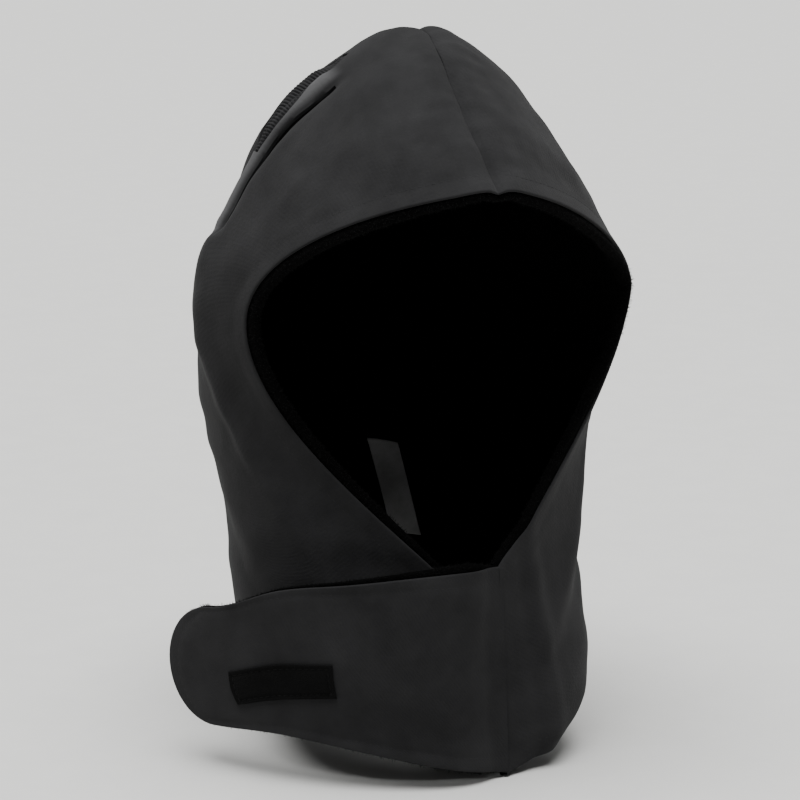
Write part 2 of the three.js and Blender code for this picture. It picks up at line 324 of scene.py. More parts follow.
@dataclass(frozen=True)
class TapeFinish(Finish):
    """Woven hook-and-loop tape: a dense field of tiny loops, darker than the twill.

    Attributes:
        loop_mm: Spacing of the loops.
    """

    loop_mm: float = 0.9

    def dress(self, tree: Tree, place: Node, tint: Socket, shader: Node) -> None:
        """Adds the field of loops as a bump."""
        loops = add(
            tree,
            "ShaderNodeTexVoronoi",
            inputs={"Vector": place.outputs["Object"], "Scale": per_metre(self.loop_mm), "Randomness": 0.7},
        )
        raised = bump(tree, loops.outputs["Distance"], 0.8, 0.4, invert=True)
        tree.links.new(raised, shader.inputs["Normal"])


@dataclass(frozen=True)
class KnitFinish(Finish):
    """Rib-knit cotton: columns of small loops on raised ribs, with a fuzzy surface.

    Attributes:
        stitch_mm: Spacing of the loops.
    """

    stitch_mm: float = 1.4

    def dress(self, tree: Tree, place: Node, tint: Socket, shader: Node) -> None:
        """Adds the knitted loops across the ribs as a bump."""
        loops = add(
            tree,
            "ShaderNodeTexWave",
            {"bands_direction": "Y"},
            {
                "Vector": place.outputs["UV"],
                "Scale": wave_scale(self.stitch_mm),
                "Distortion": 1.5,
                "Detail": 2.0,
                "Detail Scale": 2.0,
            },
        )
        raised = bump(tree, loops.outputs["Fac"], 0.6, 0.25)
        tree.links.new(raised, shader.inputs["Normal"])


@dataclass(frozen=True)
class SatinFinish(Finish):
    """Woven satin ribbon: smooth and faintly shiny, with fine lengthwise threads.

    Attributes:
        thread_mm: Spacing of the threads.
    """

    thread_mm: float = 0.5

    def dress(self, tree: Tree, place: Node, tint: Socket, shader: Node) -> None:
        """Adds the lengthwise threads as a faint bump."""
        threads = add(
            tree,
            "ShaderNodeTexWave",
            {"bands_direction": "X"},
            {"Vector": place.outputs["UV"], "Scale": wave_scale(self.thread_mm), "Distortion": 0.3},
        )
        raised = bump(tree, threads.outputs["Fac"], 0.3, 0.06)
        tree.links.new(raised, shader.inputs["Normal"])


TWILL = TwillFinish("brushed_cotton_twill", "#141415", "#202021", 0.92, 0.1, 0.2, "#8c8c8c")
FLEECE = FleeceFinish("knitted_pile_fleece", "#020202", "#040404", 1.0, 0.0, 0.05)
PILE = Finish("loose_pile_ends", "#050505", "#0d0d0d", 0.95, 0.04, 0.1, "#8c8c8c")
KNIT = KnitFinish("rib_knit_cotton", "#1a1a1b", "#222223", 0.95, 0.1, 0.15, "#8c8c8c")
TAPE = TapeFinish("woven_loop_tape", "#030303", "#080808", 0.95, 0.02, 0.1, "#5a5a5a")
SATIN = SatinFinish("woven_satin_ribbon", "#646464", "#8a8a8a", 0.4, 0.05, 0.5, "#8c8c8c")
THREAD = Finish("spun_polyester_thread", "#1b1b1c", "#252526", 0.85, 0.1, 0.2, "#8c8c8c")
DARK_THREAD = Finish("black_polyester_thread", "#060606", "#0a0a0a", 0.85, 0.03, 0.2, "#5a5a5a")
FLOOR = Finish("matt_painted_floor", "#c0c0be", "#c3c3c1", 0.95, 0.0, 0.1)


# The form of the hood

# Eight hoops, from the face edge back to the hem, by column. Each hoop is an arch across the hood, with
# its foot at the throat and its top on the crown seam. Backs and bows are shares of the depth, downs
# and feet are shares of the height, and half is a share of the half width. Sway and drift move the
# sides and the seam to the wearer's left, and slump flattens that side's shoulder.
HOOPS = {
    "at": (0.0, 0.12, 0.26, 0.42, 0.58, 0.74, 0.87, 1.0),
    "top_back": (-0.43, -0.27, 0.0, 0.28, 0.5, 0.52, 0.44, 0.42),
    "top_down": (0.184, 0.085, 0.0, 0.06, 0.25, 0.47, 0.7, 0.88),
    "foot_back": (-0.36, -0.365, -0.37, -0.375, -0.38, -0.385, -0.39, -0.4),
    "left_foot": (0.705, 0.75, 0.795, 0.84, 0.88, 0.92, 0.96, 0.99),
    "right_foot": (0.765, 0.8, 0.84, 0.87, 0.9, 0.93, 0.96, 0.99),
    "half": (0.93, 0.95, 0.96, 0.93, 0.855, 0.8, 0.795, 0.74),
    "sway": (0.02, -0.02, -0.06, -0.05, -0.07, -0.04, -0.05, -0.055),
    "drift": (0.0, -0.03, 0.03, 0.03, 0.0, -0.02, -0.04, -0.05),
    "side_at": (0.63, 0.61, 0.58, 0.58, 0.56, 0.5, 0.48, 0.48),
    "shoulder": (0.42, 0.49, 0.37, 0.29, 0.42, 0.55, 0.55, 0.55),
    "round": (0.46, 0.46, 0.44, 0.4, 0.5, 0.6, 0.6, 0.6),
    "slump": (0.09, 0.0, 0.0, 0.0, 0.0, 0.0, 0.0, 0.0),
    "keel": (0.02, 0.01, -0.02, -0.01, 0.0, 0.01, 0.0, 0.0),
    "splay": (0.22, 0.3, 0.4, 0.5, 0.55, 0.6, 0.6, 0.6),
    "rise": (0.13, 0.09, 0.06, 0.04, 0.02, 0.01, 0.03, 0.1),
    "fall": (0.4, 0.36, 0.36, 0.36, 0.44, 0.55, 0.55, 0.55),
    "bow": (0.28, 0.27, 0.2, 0.1, 0.03, 0.0, -0.03, -0.07),
}

# The same for the flap, from its seam to its tip.
FLAP = {
    "at": (0.0, 0.25, 0.5, 0.75, 1.0, 1.24),
    "out": (0.0, -0.36, -0.7, -0.98, -1.2, -1.37),
    "back": (0.0, -0.018, 0.03, 0.12, 0.24, 0.36),
    "top": (0.0, 0.01, -0.025, -0.08, -0.215, -0.215),
    "low": (0.0, 0.09, 0.175, 0.22, 0.2, 0.2),
}


def smooth_column(table: dict[str, tuple[float, ...]], name: str, at: Grid) -> Grid:
    """One column of a table, smoothed through its rows.

    Args:
        table: Columns by name. The one called at gives the rows' places.
        name: The column to read.
        at: Places to read it at.

    Returns:
        The column's value at each place.
    """
    x, y = np.array(table["at"]), np.array(table[name])
    after, before = np.r_[1 : len(x), len(x) - 1], np.r_[0, 0 : len(x) - 1]
    slope = (y[after] - y[before]) / (x[after] - x[before])
    i = np.clip(np.searchsorted(x, at, side="left") - 1, 0, len(x) - 2)
    span = x[i + 1] - x[i]
    t = np.clip((at - x[i]) / span, 0, 1)
    return (
        (2 * t**3 - 3 * t**2 + 1) * y[i]
        + (t**3 - 2 * t**2 + t) * span * slope[i]
        + (3 * t**2 - 2 * t**3) * y[i + 1]
        + (t**3 - t**2) * span * slope[i + 1]
    )


def unit(vectors: Grid) -> Grid:
    """The same vectors at unit length."""
    return vectors / np.maximum(np.linalg.norm(vectors, axis=-1, keepdims=True), 1e-12)


def lump(distance: Grid, width: float) -> Grid:
    """A smooth bump of height one at zero distance, which fades over the width."""
    return np.exp(-((distance / width) ** 2))


def step(low: float, high: float, value: Grid) -> Grid:
    """A smooth step from zero at low to one at high."""
    t = np.clip((value - low) / (high - low), 0, 1)
    return t * t * (3 - 2 * t)


@dataclass(frozen=True)
class Strip:
    """A narrow shape on the hood's face, from its lower end to its upper end.

    Attributes:
        low: along and at of the lower end.
        high: along and at of the upper end.
        width: Width at its middle, in metres.
        ends: Share of the width that is left at the ends.
    """

    low: tuple[float, float]
    high: tuple[float, float]
    width: float
    ends: float


SLOT = Strip((0.593, 0.235), (0.826, 0.222), 4.5 * MM, 0.9)
GUSSET = Strip((0.7, 0.27), (0.87, 0.28), 20 * MM, 0.5)
LABEL = Strip((0.85, 0.923), (0.905, 0.835), 18 * MM, 1.0)


@dataclass(frozen=True)
class Ridge:
    """A raised or sunken line of the cloth, beside an edge, a seam or the slot.

    Attributes:
        place: Distance of its middle from that edge, in millimetres.
        width: How soon it fades, in millimetres.
        rise: Its height in millimetres, less than zero where it is sunken.
    """

    place: float
    width: float
    rise: float

    def on(self, distance: Grid) -> Grid:
        """Its height in millimetres at distances given in metres."""
        return self.rise * lump(distance - self.place * MM, self.width * MM)


@dataclass(frozen=True)
class Mottle:
    """Smooth noise that dents or fluffs the cloth.

    Attributes:
        grain: Its grain in metres along X, Y and Z.
        seed: Picks its pattern.
        height: About its height, in millimetres.
    """

    grain: tuple[float, float, float]
    seed: float
    height: float

    def on(self, points: Grid) -> Grid:
        """Its height in millimetres at points given in metres."""
        flat = (points / np.asarray(self.grain)).reshape(-1, 3) + self.seed
        values = [noise.noise(Vector(p)) for p in flat.tolist()]
        return self.height * np.array(values).reshape(points.shape[:-1])


# The hood: its seam and sewn rows, the fold beside the flap, and what lies behind the slot
SEAM_VALLEY, SEAM_TURN = Ridge(0, 3.2, -2.5), Ridge(10, 6, 0.5)
FACE_ROW, HEM_ROW = Ridge(9, 3, -0.2), Ridge(10, 3, -0.2)
FRONT_FOLD, FRONT_GROOVE = Ridge(27, 7, 1.6), Ridge(17, 5, -1.0)
SLOT_LIP, SLOT_EDGE, LIP_FOOT = Ridge(8.5, 4, 2.6), Ridge(0, 4, -2.4), Ridge(15, 4, -1.2)
GUSSET_BULGE, LOW_HOLLOW = Ridge(24, 11, 3.8), Ridge(14, 12, -3.2)
HOOK_DEPTH = 1.4
TURN_WIDTH = 15 * MM

# Its dents, its level drag lines below the crown, and the puckers along the seam
DENTS = (
    Mottle((0.05, 0.05, 0.05), 3.1, 1.6),
    Mottle((0.02, 0.02, 0.02), 8.4, 1.1),
    Mottle((0.009, 0.009, 0.009), 2.2, 0.3),
)
DRAG = Mottle((0.08, 0.08, 0.013), 21.7, 1.1)
PUCKER = Mottle((0.03, 0.008, 0.008), 40.3, 1.0)

# Heights between which the cloth turns from draped to drawn over the crown, and the fold begins
CROWN_HEIGHTS = (-0.17, -0.06)
FOLD_HEIGHTS = (-0.2, -0.25)

# The lining's clumps of pile
CLUMPS = (
    Mottle((0.007, 0.007, 0.007), 5.5, 0.9),
    Mottle((0.0035, 0.0035, 0.0035), 9.1, 0.45),
)

# The flap: its sewn row, the valley beside its seam, its dents and its upright drag lines
FLAP_ROW, FLAP_ROOT = Ridge(7, 2.4, -0.3), Ridge(9, 4, -0.5)
FLAP_DENTS = (
    Mottle((0.045, 0.045, 0.035), 61.3, 1.0),
    Mottle((0.016, 0.016, 0.016), 17.2, 0.6),
)
FLAP_DRAG = Mottle((0.018, 0.018, 0.09), 33.8, 0.9)

# About a side's lengths over the cloth, for the places of its grid near rounded edges
FOOT_TO_SEAM = 0.36
FACE_TO_HEM = 0.4

# The grid's steps over a rounded edge, in radii, and over the lining's roll, from -1 to the face edge
ROUNDING = np.array([0, 0.08, 0.25, 0.5, 0.8, 1.2])
ROLL_ROWS = np.array([0, 0.03, 0.1, 0.22, 0.4, 0.65]) - 1


@dataclass
class HoodForm:
    """The worn shape of the hood's outer face, and how the cloth lies on it.

    Attributes:
        height: Crown seam down to the front hem.
        width: Over the ears, outside.
        depth: Brow edge to the back of the head, outside.
        shell_wall: Thickness of the twill.
        lining_wall: Thickness of the fleece.
        layer_gap: Space between any two layers.
        seam_gap: Space between the panels at the crown seam.
        right_edge: The right front edge, from the centre plane.
        left_edge: The left front edge, from the centre plane.
        tuck: How far the right front edge lies behind the left one.
        split: Share of a hoop's parameter below its widest point.
        foot_bow: Share of a hoop's bow that its foot already has.
        corner: Height in millimetres of the bend where the right slot ends low on the temple.
        turn: How far in millimetres the soft corner between flap and left panel is rounded off.
        cells: Steps of the grid on which distances over the cloth are measured.
    """

    height: float = 340 * MM
    width: float = 208 * MM
    depth: float = 232 * MM
    shell_wall: float = 1.6 * MM
    lining_wall: float = 4.5 * MM
    layer_gap: float = 0.3 * MM
    seam_gap: float = 0.5 * MM
    right_edge: float = 1 * MM
    left_edge: float = 12 * MM
    tuck: float = 7 * MM
    split: float = 0.45
    foot_bow: float = 0.27
    corner: float = 3.0
    turn: float = 4.4
    cells: int = 120
    spans: dict[Side, dict[str, Grid]] = field(default_factory=dict)

    def __post_init__(self) -> None:
        """Measures each side once, so that rows can be laid at real distances."""
        for side in Side:
            self.spans[side] = self.measure(side)

    @property
    def wall(self) -> float:
        """The whole thickness of shell, gap and lining."""
        return self.shell_wall + self.layer_gap + self.lining_wall

    def measure(self, side: Side) -> dict[str, Grid]:
        """Distances over the cloth from its four edges, on an even grid of one side."""
        line = np.linspace(0, 1, self.cells + 1)
        along, at = grid(line, line)
        points = self.point(side, along, at)
        down = np.linalg.norm(np.diff(points, axis=1), axis=-1)
        over = np.linalg.norm(np.diff(points, axis=0), axis=-1)
        face = np.concatenate([np.zeros((len(line), 1)), np.cumsum(down, axis=1)], axis=1)
        front = np.concatenate([np.zeros((1, len(line))), np.cumsum(over, axis=0)], axis=0)
        return {"face": face, "hem": face[:, -1:] - face, "front": front, "seam": front[-1:, :] - front}

    def span(self, side: Side, name: str, along: Grid, at: Grid) -> Grid:
        """The distance over the cloth from one of its edges, in metres."""
        table = self.spans[side][name]
        x, y = np.clip(along, 0, 1) * self.cells, np.clip(at, 0, 1) * self.cells
        i = np.clip(x.astype(int), 0, self.cells - 1)
        j = np.clip(y.astype(int), 0, self.cells - 1)
        s, t = x - i, y - j
        low = table[i, j] * (1 - s) + table[i + 1, j] * s
        high = table[i, j + 1] * (1 - s) + table[i + 1, j + 1] * s
        return low * (1 - t) + high * t

    def distances(self, side: Side, along: Grid, at: Grid) -> tuple[Grid, ...]:
        """The distances over the cloth from its face edge, hem, front edge and crown seam."""
        return tuple(self.span(side, name, along, at) for name in ("face", "hem", "front", "seam"))

    def point(self, side: Side, along: Grid, at: Grid, seam: float | None = None) -> Grid:
        """A point of the hood's smooth outer face.

        Args:
            side: Which side.
            along: From the foot at the throat, 0, to the crown seam, 1.
            at: From the face edge, 0, to the hem, 1.
            seam: Distance of the panel's edge from the seam's line.

        Returns:
            The points, in metres.
        """
        along, at = np.broadcast_arrays(np.asarray(along, float), np.asarray(at, float))
        sign = side.value
        seam = self.seam_gap / 2 if seam is None else seam

        def value(name: str) -> Grid:
            return smooth_column(HOOPS, name, at)

        right = side is Side.RIGHT
        edge = self.right_edge if right else self.left_edge
        foot_y = value("foot_back") * self.depth + (self.tuck if right else 0)
        foot_z = self.wall - value("right_foot" if right else "left_foot") * self.height
        top_y, top_z = value("top_back") * self.depth, self.wall - value("top_down") * self.height
        length = np.hypot(top_y - foot_y, top_z - foot_z)
        up_y, up_z = (top_y - foot_y) / length, (top_z - foot_z) / length
        half = (value("half") + sign * value("sway")) * self.width / 2
        middle, bow = value("side_at") * length, value("bow") * self.depth
        crest = seam + sign * value("drift") * self.width / 2
        slump = sign * value("slump")
        zero = np.zeros_like(half)
        widest = (half, middle, bow)
        lower = (
            (edge + zero, zero, zero),
            (edge + value("splay") * half, value("rise") * length, self.foot_bow * bow),
            (half, middle * (1 - value("fall")), bow),
            widest,
        )
        upper = (
            widest,
            (half, middle + (value("shoulder") - slump) * (length - middle), bow),
            (crest + (value("round") - slump) * (half - crest), length * (1 - value("keel")), zero),
            (crest, length, zero),
        )
        below = along < self.split
        t = np.where(below, along / self.split, (along - self.split) / (1 - self.split))
        weights = ((1 - t) ** 3, 3 * t * (1 - t) ** 2, 3 * t**2 * (1 - t), t**3)
        local = [
            sum(w * np.where(below, lower[k][axis], upper[k][axis]) for k, w in enumerate(weights))
            for axis in range(3)
        ]
        y = foot_y + up_y * local[1] + up_z * local[2]
        z = foot_z + up_z * local[1] - up_y * local[2]
        return np.stack([sign * local[0], y, z], axis=-1)

    def side_normal(self, side: Side, along: Grid, at: Grid) -> Grid:
        """The outward normal of one side's face."""
        tiny = 1e-3
        a0, a1 = np.maximum(along - tiny, 0), np.minimum(along + tiny, 1)
        b0, b1 = np.maximum(at - tiny, 0), np.minimum(at + tiny, 1)
        across = self.point(side, a1, at) - self.point(side, a0, at)
        down = self.point(side, along, b1) - self.point(side, along, b0)
        return unit(np.cross(across, down) * -side.value)

    def normal(self, side: Side, along: Grid, at: Grid) -> Grid:
        """The outward normal: both sides share it at the seam, and it is square to the front edges."""
        along, at = np.broadcast_arrays(np.asarray(along, float), np.asarray(at, float))
        own = self.side_normal(side, along, at)
        ones = np.ones_like(along)
        shared = unit(self.side_normal(Side.RIGHT, ones, at) + self.side_normal(Side.LEFT, ones, at))
        own = np.where((along >= 1)[..., None], shared, own)
        square = unit(own * np.array([0, 1, 1]))
        return np.where((along <= 0)[..., None], square, own)

    def slot_offset(self, side: Side, along: Grid, at: Grid) -> tuple[Grid, Grid]:
        """How far a place lies behind the slot's centre line, and how much of the slot is there."""
        up = (along - SLOT.low[0]) / (SLOT.high[0] - SLOT.low[0])
        line = SLOT.low[1] + np.clip(up, 0, 1) * (SLOT.high[1] - SLOT.low[1])
        offset = self.span(side, "face", along, at) - self.span(side, "face", along, line)
        inside = step(-0.08, 0.04, up) * (1 - step(0.96, 1.1, up))
        return offset, inside

    def lie(self, side: Side, along: Grid, at: Grid) -> Grid:
        """How far the worn cloth stands off its smooth form: dents, puckers, folds and sewn rows.

        Args:
            side: Which side.
            along: From foot to seam.
            at: From face edge to hem.

        Returns:
            The distance outwards, in metres.
        """
        p = self.point(side, along, at)
        face, hem, front, seam = self.distances(side, along, at)
        calm = step(0, 20 * MM, face) * step(0, 16 * MM, hem)
        crown = step(*CROWN_HEIGHTS, p[..., 2])
        away = sum(dent.on(p) for dent in DENTS) * (0.5 + 0.5 * crown) * calm
        away = away + DRAG.on(p) * (1 - crown) * calm * step(0, 30 * MM, front)
        left = side is Side.LEFT
        pucker = PUCKER.on(p) * lump(seam, 20 * MM) * step(3 * MM, 20 * MM, face)
        away = away + (1.8 if left else 0.8) * pucker
        flatter = 1 - 0.7 * lump(at - 0.26, 0.07)
        away = away + flatter * SEAM_VALLEY.on(seam) + SEAM_TURN.on(seam)
        away = away + FACE_ROW.on(face) + HEM_ROW.on(hem)
        if left:
            low = step(*FOLD_HEIGHTS, p[..., 2])
            away = away + low * (FRONT_FOLD.on(front) + FRONT_GROOVE.on(front))
            return (away - self.turn * lump(front, TURN_WIDTH)) * MM
        return (away + self.slot_relief(side, along, at)) * MM

    def slot_relief(self, side: Side, along: Grid, at: Grid) -> Grid:
        """The lip, the hollows and the gusset's bulge behind the slot, in millimetres."""
        offset, inside = self.slot_offset(side, along, at)
        upper = step(0.66, 0.74, along)
        away = inside * (SLOT_LIP.on(offset) + SLOT_EDGE.on(offset))
        away = away + inside * (upper * GUSSET_BULGE.on(offset) + LIP_FOOT.on(offset))
        away = away + inside * (1 - upper) * LOW_HOLLOW.on(offset)
        hook = lump(along - 0.592, 0.011) * step(-2 * MM, 2 * MM, offset) * step(20 * MM, 12 * MM, offset)
        temple = lump(along - 0.555, 0.05) * lump(at - 0.29, 0.09)
        return away - HOOK_DEPTH * hook + self.corner * temple

    def cloth(
        self, side: Side, along: Grid, at: Grid, depth: Grid | float = 0.0, seam: float | None = None
    ) -> Grid:
        """A point of the worn cloth, at a depth under its outer face."""
        along, at = np.broadcast_arrays(np.asarray(along, float), np.asarray(at, float))
        lift = self.lie(side, along, at) - depth
        return self.point(side, along, at, seam) + self.normal(side, along, at) * lift[..., None]

    def row(self, side: Side, edge: str, distance: float, along: Grid) -> Grid:
        """The places at which a row lies at a real distance from the face edge or the hem."""
        line = np.linspace(0, 1, 400)
        found = []
        for a in along:
            span = self.span(side, edge, np.full_like(line, a), line)
            order = np.argsort(span)
            found.append(np.interp(distance, span[order], line[order]))
        return np.array(found)

    def strip(self, side: Side, strip: Strip, s: Grid, t: Grid, grow: float = 0.0) -> tuple[Grid, Grid]:
        """Places on a strip.

        Args:
            side: Which side.
            strip: The strip.
            s: From its lower to its upper end.
            t: From its front to its back edge.
            grow: Margin around it, in metres.

        Returns:
            along and at of each place.
        """
        low = self.point(side, np.array(strip.low[0]), np.array(strip.low[1]))
        high = self.point(side, np.array(strip.high[0]), np.array(strip.high[1]))
        stretch = grow / np.linalg.norm(high - low)
        up = -stretch + s * (1 + 2 * stretch)
        along = strip.low[0] + up * (strip.high[0] - strip.low[0])
        at = strip.low[1] + up * (strip.high[1] - strip.low[1])
        full = np.sin(np.pi * np.clip(up, 0, 1))
        across = (strip.width * (strip.ends + (1 - strip.ends) * full) + 2 * grow) * (t - 0.5)
        tiny = 1e-3
        stride = self.point(side, along, at + tiny) - self.point(side, along, at)
        return along, at + across * tiny / np.linalg.norm(stride, axis=-1)


# Mesh helpers


def grid(first: Grid, second: Grid) -> Sequence[Grid]:
    """Rows and columns of places from two lines of them."""
    return np.meshgrid(first, second, indexing="ij")


def edge_dense(count: int, length: float, radius: float, both: bool = True) -> Grid:
    """Places from 0 to 1 that lie closer together where an edge is rounded.

    Args:
        count: Even steps over the length.
        length: The real length.
        radius: The radius of the rounded edge.
        both: Whether the far end is rounded too.

    Returns:
        The places.
    """
    near = ROUNDING * radius / length
    middle = np.linspace(near[-1], 1 - near[-1] if both else 1, count + 1)[1:]
    if both:
        middle = middle[:-1]
        return np.concatenate([near, middle, 1 - near[::-1]])
    return np.concatenate([near, middle])


def pinch(distance: Grid, radius: float, wall: float) -> Grid:
    """How far each face of a cloth moves in towards its middle where its edge is rounded."""
    rest = 1 - np.clip(distance / radius, 0, 1)
    return 0.46 * wall * (1 - np.sqrt(np.maximum(1 - rest**2, 0)))


def sheet_mesh(name: str, outer: Grid, inner: Grid, lay: Grid) -> bpy.types.Mesh:
    """Closes two grids of points into one sheet of cloth with a UV map in metres.

    Args:
        name: The mesh's name.
        outer: The outer face, as rows and columns of points.
        inner: The inner face, on the same grid.
        lay: Where each grid point lies on the flat cloth, in metres.

    Returns:
        The closed mesh, its faces pointing out.
    """
    rows, cols = outer.shape[:2]
    points = np.concatenate([outer.reshape(-1, 3), inner.reshape(-1, 3)])
    ids = np.arange(rows * cols).reshape(rows, cols)
    under = ids + rows * cols

    def quads(a: Grid, b: Grid, c: Grid, d: Grid) -> Grid:
        return np.stack([a.ravel(), b.ravel(), c.ravel(), d.ravel()], axis=-1)

    faces = np.concatenate([
        quads(ids[:-1, :-1], ids[1:, :-1], ids[1:, 1:], ids[:-1, 1:]),
        quads(under[:-1, :-1], under[:-1, 1:], under[1:, 1:], under[1:, :-1]),
        quads(ids[:-1, 0], under[:-1, 0], under[1:, 0], ids[1:, 0]),
        quads(ids[:-1, -1], ids[1:, -1], under[1:, -1], under[:-1, -1]),
        quads(ids[0, :-1], ids[0, 1:], under[0, 1:], under[0, :-1]),
        quads(ids[-1, :-1], under[-1, :-1], under[-1, 1:], ids[-1, 1:]),
    ])  # fmt: skip
    corners = points[faces]
    a, b, c, d = (corners[:, k] for k in range(4))
    volume = (np.cross(b, c) * a).sum() + (np.cross(c, d) * a).sum()
    if volume < 0:
        faces = faces[:, ::-1]
    mesh = bpy.data.meshes.new(name)
    mesh.from_pydata(points.tolist(), [], faces.tolist())
    add_map(mesh, "cloth", lay)
    mesh.validate()
    mesh.shade_smooth()
    return mesh


def add_map(mesh: bpy.types.Mesh, name: str, places: Grid) -> None:
    """Gives a sheet one more UV map.

    Args:
        mesh: A mesh from sheet_mesh().
        name: The map's name.
        places: The map's value at each grid point, the same on both faces.
    """
    flat = np.concatenate([places.reshape(-1, 2)] * 2)
    loops = np.empty(len(mesh.loops), dtype=np.int32)
    mesh.loops.foreach_get("vertex_index", loops)
    mesh.uv_layers.new(name=name).data.foreach_set("uv", flat[loops].astype(np.float32).ravel())


def mark(mesh: bpy.types.Mesh, name: str, outer: Grid, inner: Grid) -> None:
    """Keeps a number under a name at each point of a sheet's outer and inner face."""
    both = np.r_[outer.ravel(), inner.ravel()].astype(np.float32)
    mesh.attributes.new(name, "FLOAT", "POINT").data.foreach_set("value", both)


def show(name: str, mesh: bpy.types.Mesh, finish: Finish | None = None) -> bpy.types.Object:
    """Puts a mesh in the scene as an object at the origin, in its finish."""
    thing = bpy.data.objects.new(name, mesh)
    bpy.context.scene.collection.objects.link(thing)
    if finish:
        mesh.materials.clear()
        mesh.materials.append(finish.material())
    return thing


def plain_mesh(thing: bpy.types.Object, name: str) -> bpy.types.Mesh:
    """The mesh that an object's modifiers give, as a mesh of its own."""
    graph = bpy.context.evaluated_depsgraph_get()
    mesh = bpy.data.meshes.new_from_object(thing.evaluated_get(graph))
    mesh.name = name
    return mesh


def finish_piece(thing: bpy.types.Object, replaces: str | None = None) -> bpy.types.Object:
    """Lets a piece ride on the hood and the solid it stands for, and reports it."""
    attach(thing, BODY)
    if replaces:
        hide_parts(replaces)
    LOG.info("%s: %d faces", thing.name, len(thing.data.polygons))
    return thing


# Geometry Nodes trees


def read_number(tree: Tree, name: str) -> Socket:
    """The number that a mesh keeps under a name at each of its points."""
    return add(tree, "GeometryNodeInputNamedAttribute", {"data_type": "FLOAT"}, {"Name": name}).outputs[0]


@dataclass
class Recipe:
    """A Geometry Nodes tree with named inputs, made once and used on many pieces.

    Attributes:
        name: The tree's name.
        inputs: Default of each named number input.
    """

    name: str
    inputs: dict[str, float | int]

    def tree(self) -> Tree:
        """Builds the tree once and gives it back after that."""
        made = bpy.data.node_groups.get(self.name)
        if made:
            return made
        made = bpy.data.node_groups.new(self.name, "GeometryNodeTree")
        made.interface.new_socket("Geometry", in_out="INPUT", socket_type="NodeSocketGeometry")
        for key, value in self.inputs.items():
            kind = "NodeSocketInt" if isinstance(value, int) else "NodeSocketFloat"
            made.interface.new_socket(key, in_out="INPUT", socket_type=kind).default_value = value
        made.interface.new_socket("Material", in_out="INPUT", socket_type="NodeSocketMaterial")
        made.interface.new_socket("Geometry", in_out="OUTPUT", socket_type="NodeSocketGeometry")
        start = add(made, "NodeGroupInput")
        end = add(made, "NodeGroupOutput")
        shape = self.build(made, start)
        whole = add(made, "GeometryNodeRealizeInstances", inputs={"Geometry": shape})
        coat = add(
            made,
            "GeometryNodeSetMaterial",
            inputs={"Geometry": whole.outputs["Geometry"], "Material": start.outputs["Material"]},
        )
        made.links.new(coat.outputs["Geometry"], end.inputs["Geometry"])
        return made

    def build(self, tree: Tree, start: Node) -> Socket:
        """Adds the tree's own nodes and returns the geometry that they give."""
        return start.outputs["Geometry"]

    def uneven(self, tree: Tree, start: Node, low: float, high: float) -> Socket:
        """A number between two bounds for each copy, by the tree's seed."""
        values = {2: low, 3: high, "Seed": start.outputs["Seed"]}
        return add(tree, "FunctionNodeRandomValue", {"data_type": "FLOAT"}, values).outputs[1]

    def scatter(self, tree: Tree, spots: Node, shape: Node, turn: Socket, scale: Socket) -> Socket:
        """Sets one copy of a shape on each spot and returns them all."""
        inputs = {
            "Points": spots.outputs["Points"],
            "Instance": shape.outputs["Geometry"],
            "Rotation": turn,
            "Scale": scale,
        }
        return add(tree, "GeometryNodeInstanceOnPoints", inputs=inputs).outputs["Instances"]

    def make(self, thing: bpy.types.Object, name: str, finish: Finish, **values: float) -> bpy.types.Mesh:
        """Runs the tree on an object.

        Args:
            thing: The object that feeds the tree. It is removed.
            name: The result's name.
            finish: The result's finish.
            values: Inputs that differ from their defaults, with _ for a space.

        Returns:
            The result as a plain mesh.
        """
        tree = self.tree()
        modifier = thing.modifiers.new(self.name, "NODES")
        modifier.node_group = tree
        wanted = {key.replace("_", " ").title(): value for key, value in values.items()}
        wanted["Material"] = finish.material()
        for item in tree.interface.items_tree:
            if item.in_out == "INPUT" and item.name in wanted:
                modifier[item.identifier] = wanted[item.name]
        mesh = plain_mesh(thing, name)
        thing.modifiers.remove(modifier)
        data = thing.data
        bpy.data.objects.remove(thing)
        (bpy.data.curves if isinstance(data, bpy.types.Curve) else bpy.data.meshes).remove(data)
        mesh.shade_smooth()
        return mesh


class StitchRow(Recipe):
    """Sewing thread along a path: short rounded stitches with a small gap between them."""

    def build(self, tree: Tree, start: Node) -> Socket:
        """Places one stitch at each pitch along the path, a little uneven as sewn."""
        spots = add(
            tree,
            "GeometryNodeCurveToPoints",
            {"mode": "LENGTH"},
            {"Curve": start.outputs["Geometry"], "Length": start.outputs["Pitch"]},
        )
        bead = add(tree, "GeometryNodeMeshUVSphere", inputs={"Segments": 6, "Rings": 5, "Radius": 1.0})
        radius = start.outputs["Thread Radius"]
        half = calc(tree, "MULTIPLY", start.outputs["Stitch Length"], 0.5)
        size = add(tree, "ShaderNodeCombineXYZ", inputs={"X": radius, "Y": radius, "Z": half})
        stitch = add(
            tree,
            "GeometryNodeTransform",
            inputs={"Geometry": bead.outputs["Mesh"], "Scale": size.outputs["Vector"]},
        )
        scale = self.uneven(tree, start, 0.88, 1.08)
        return self.scatter(tree, spots, stitch, spots.outputs["Rotation"], scale)


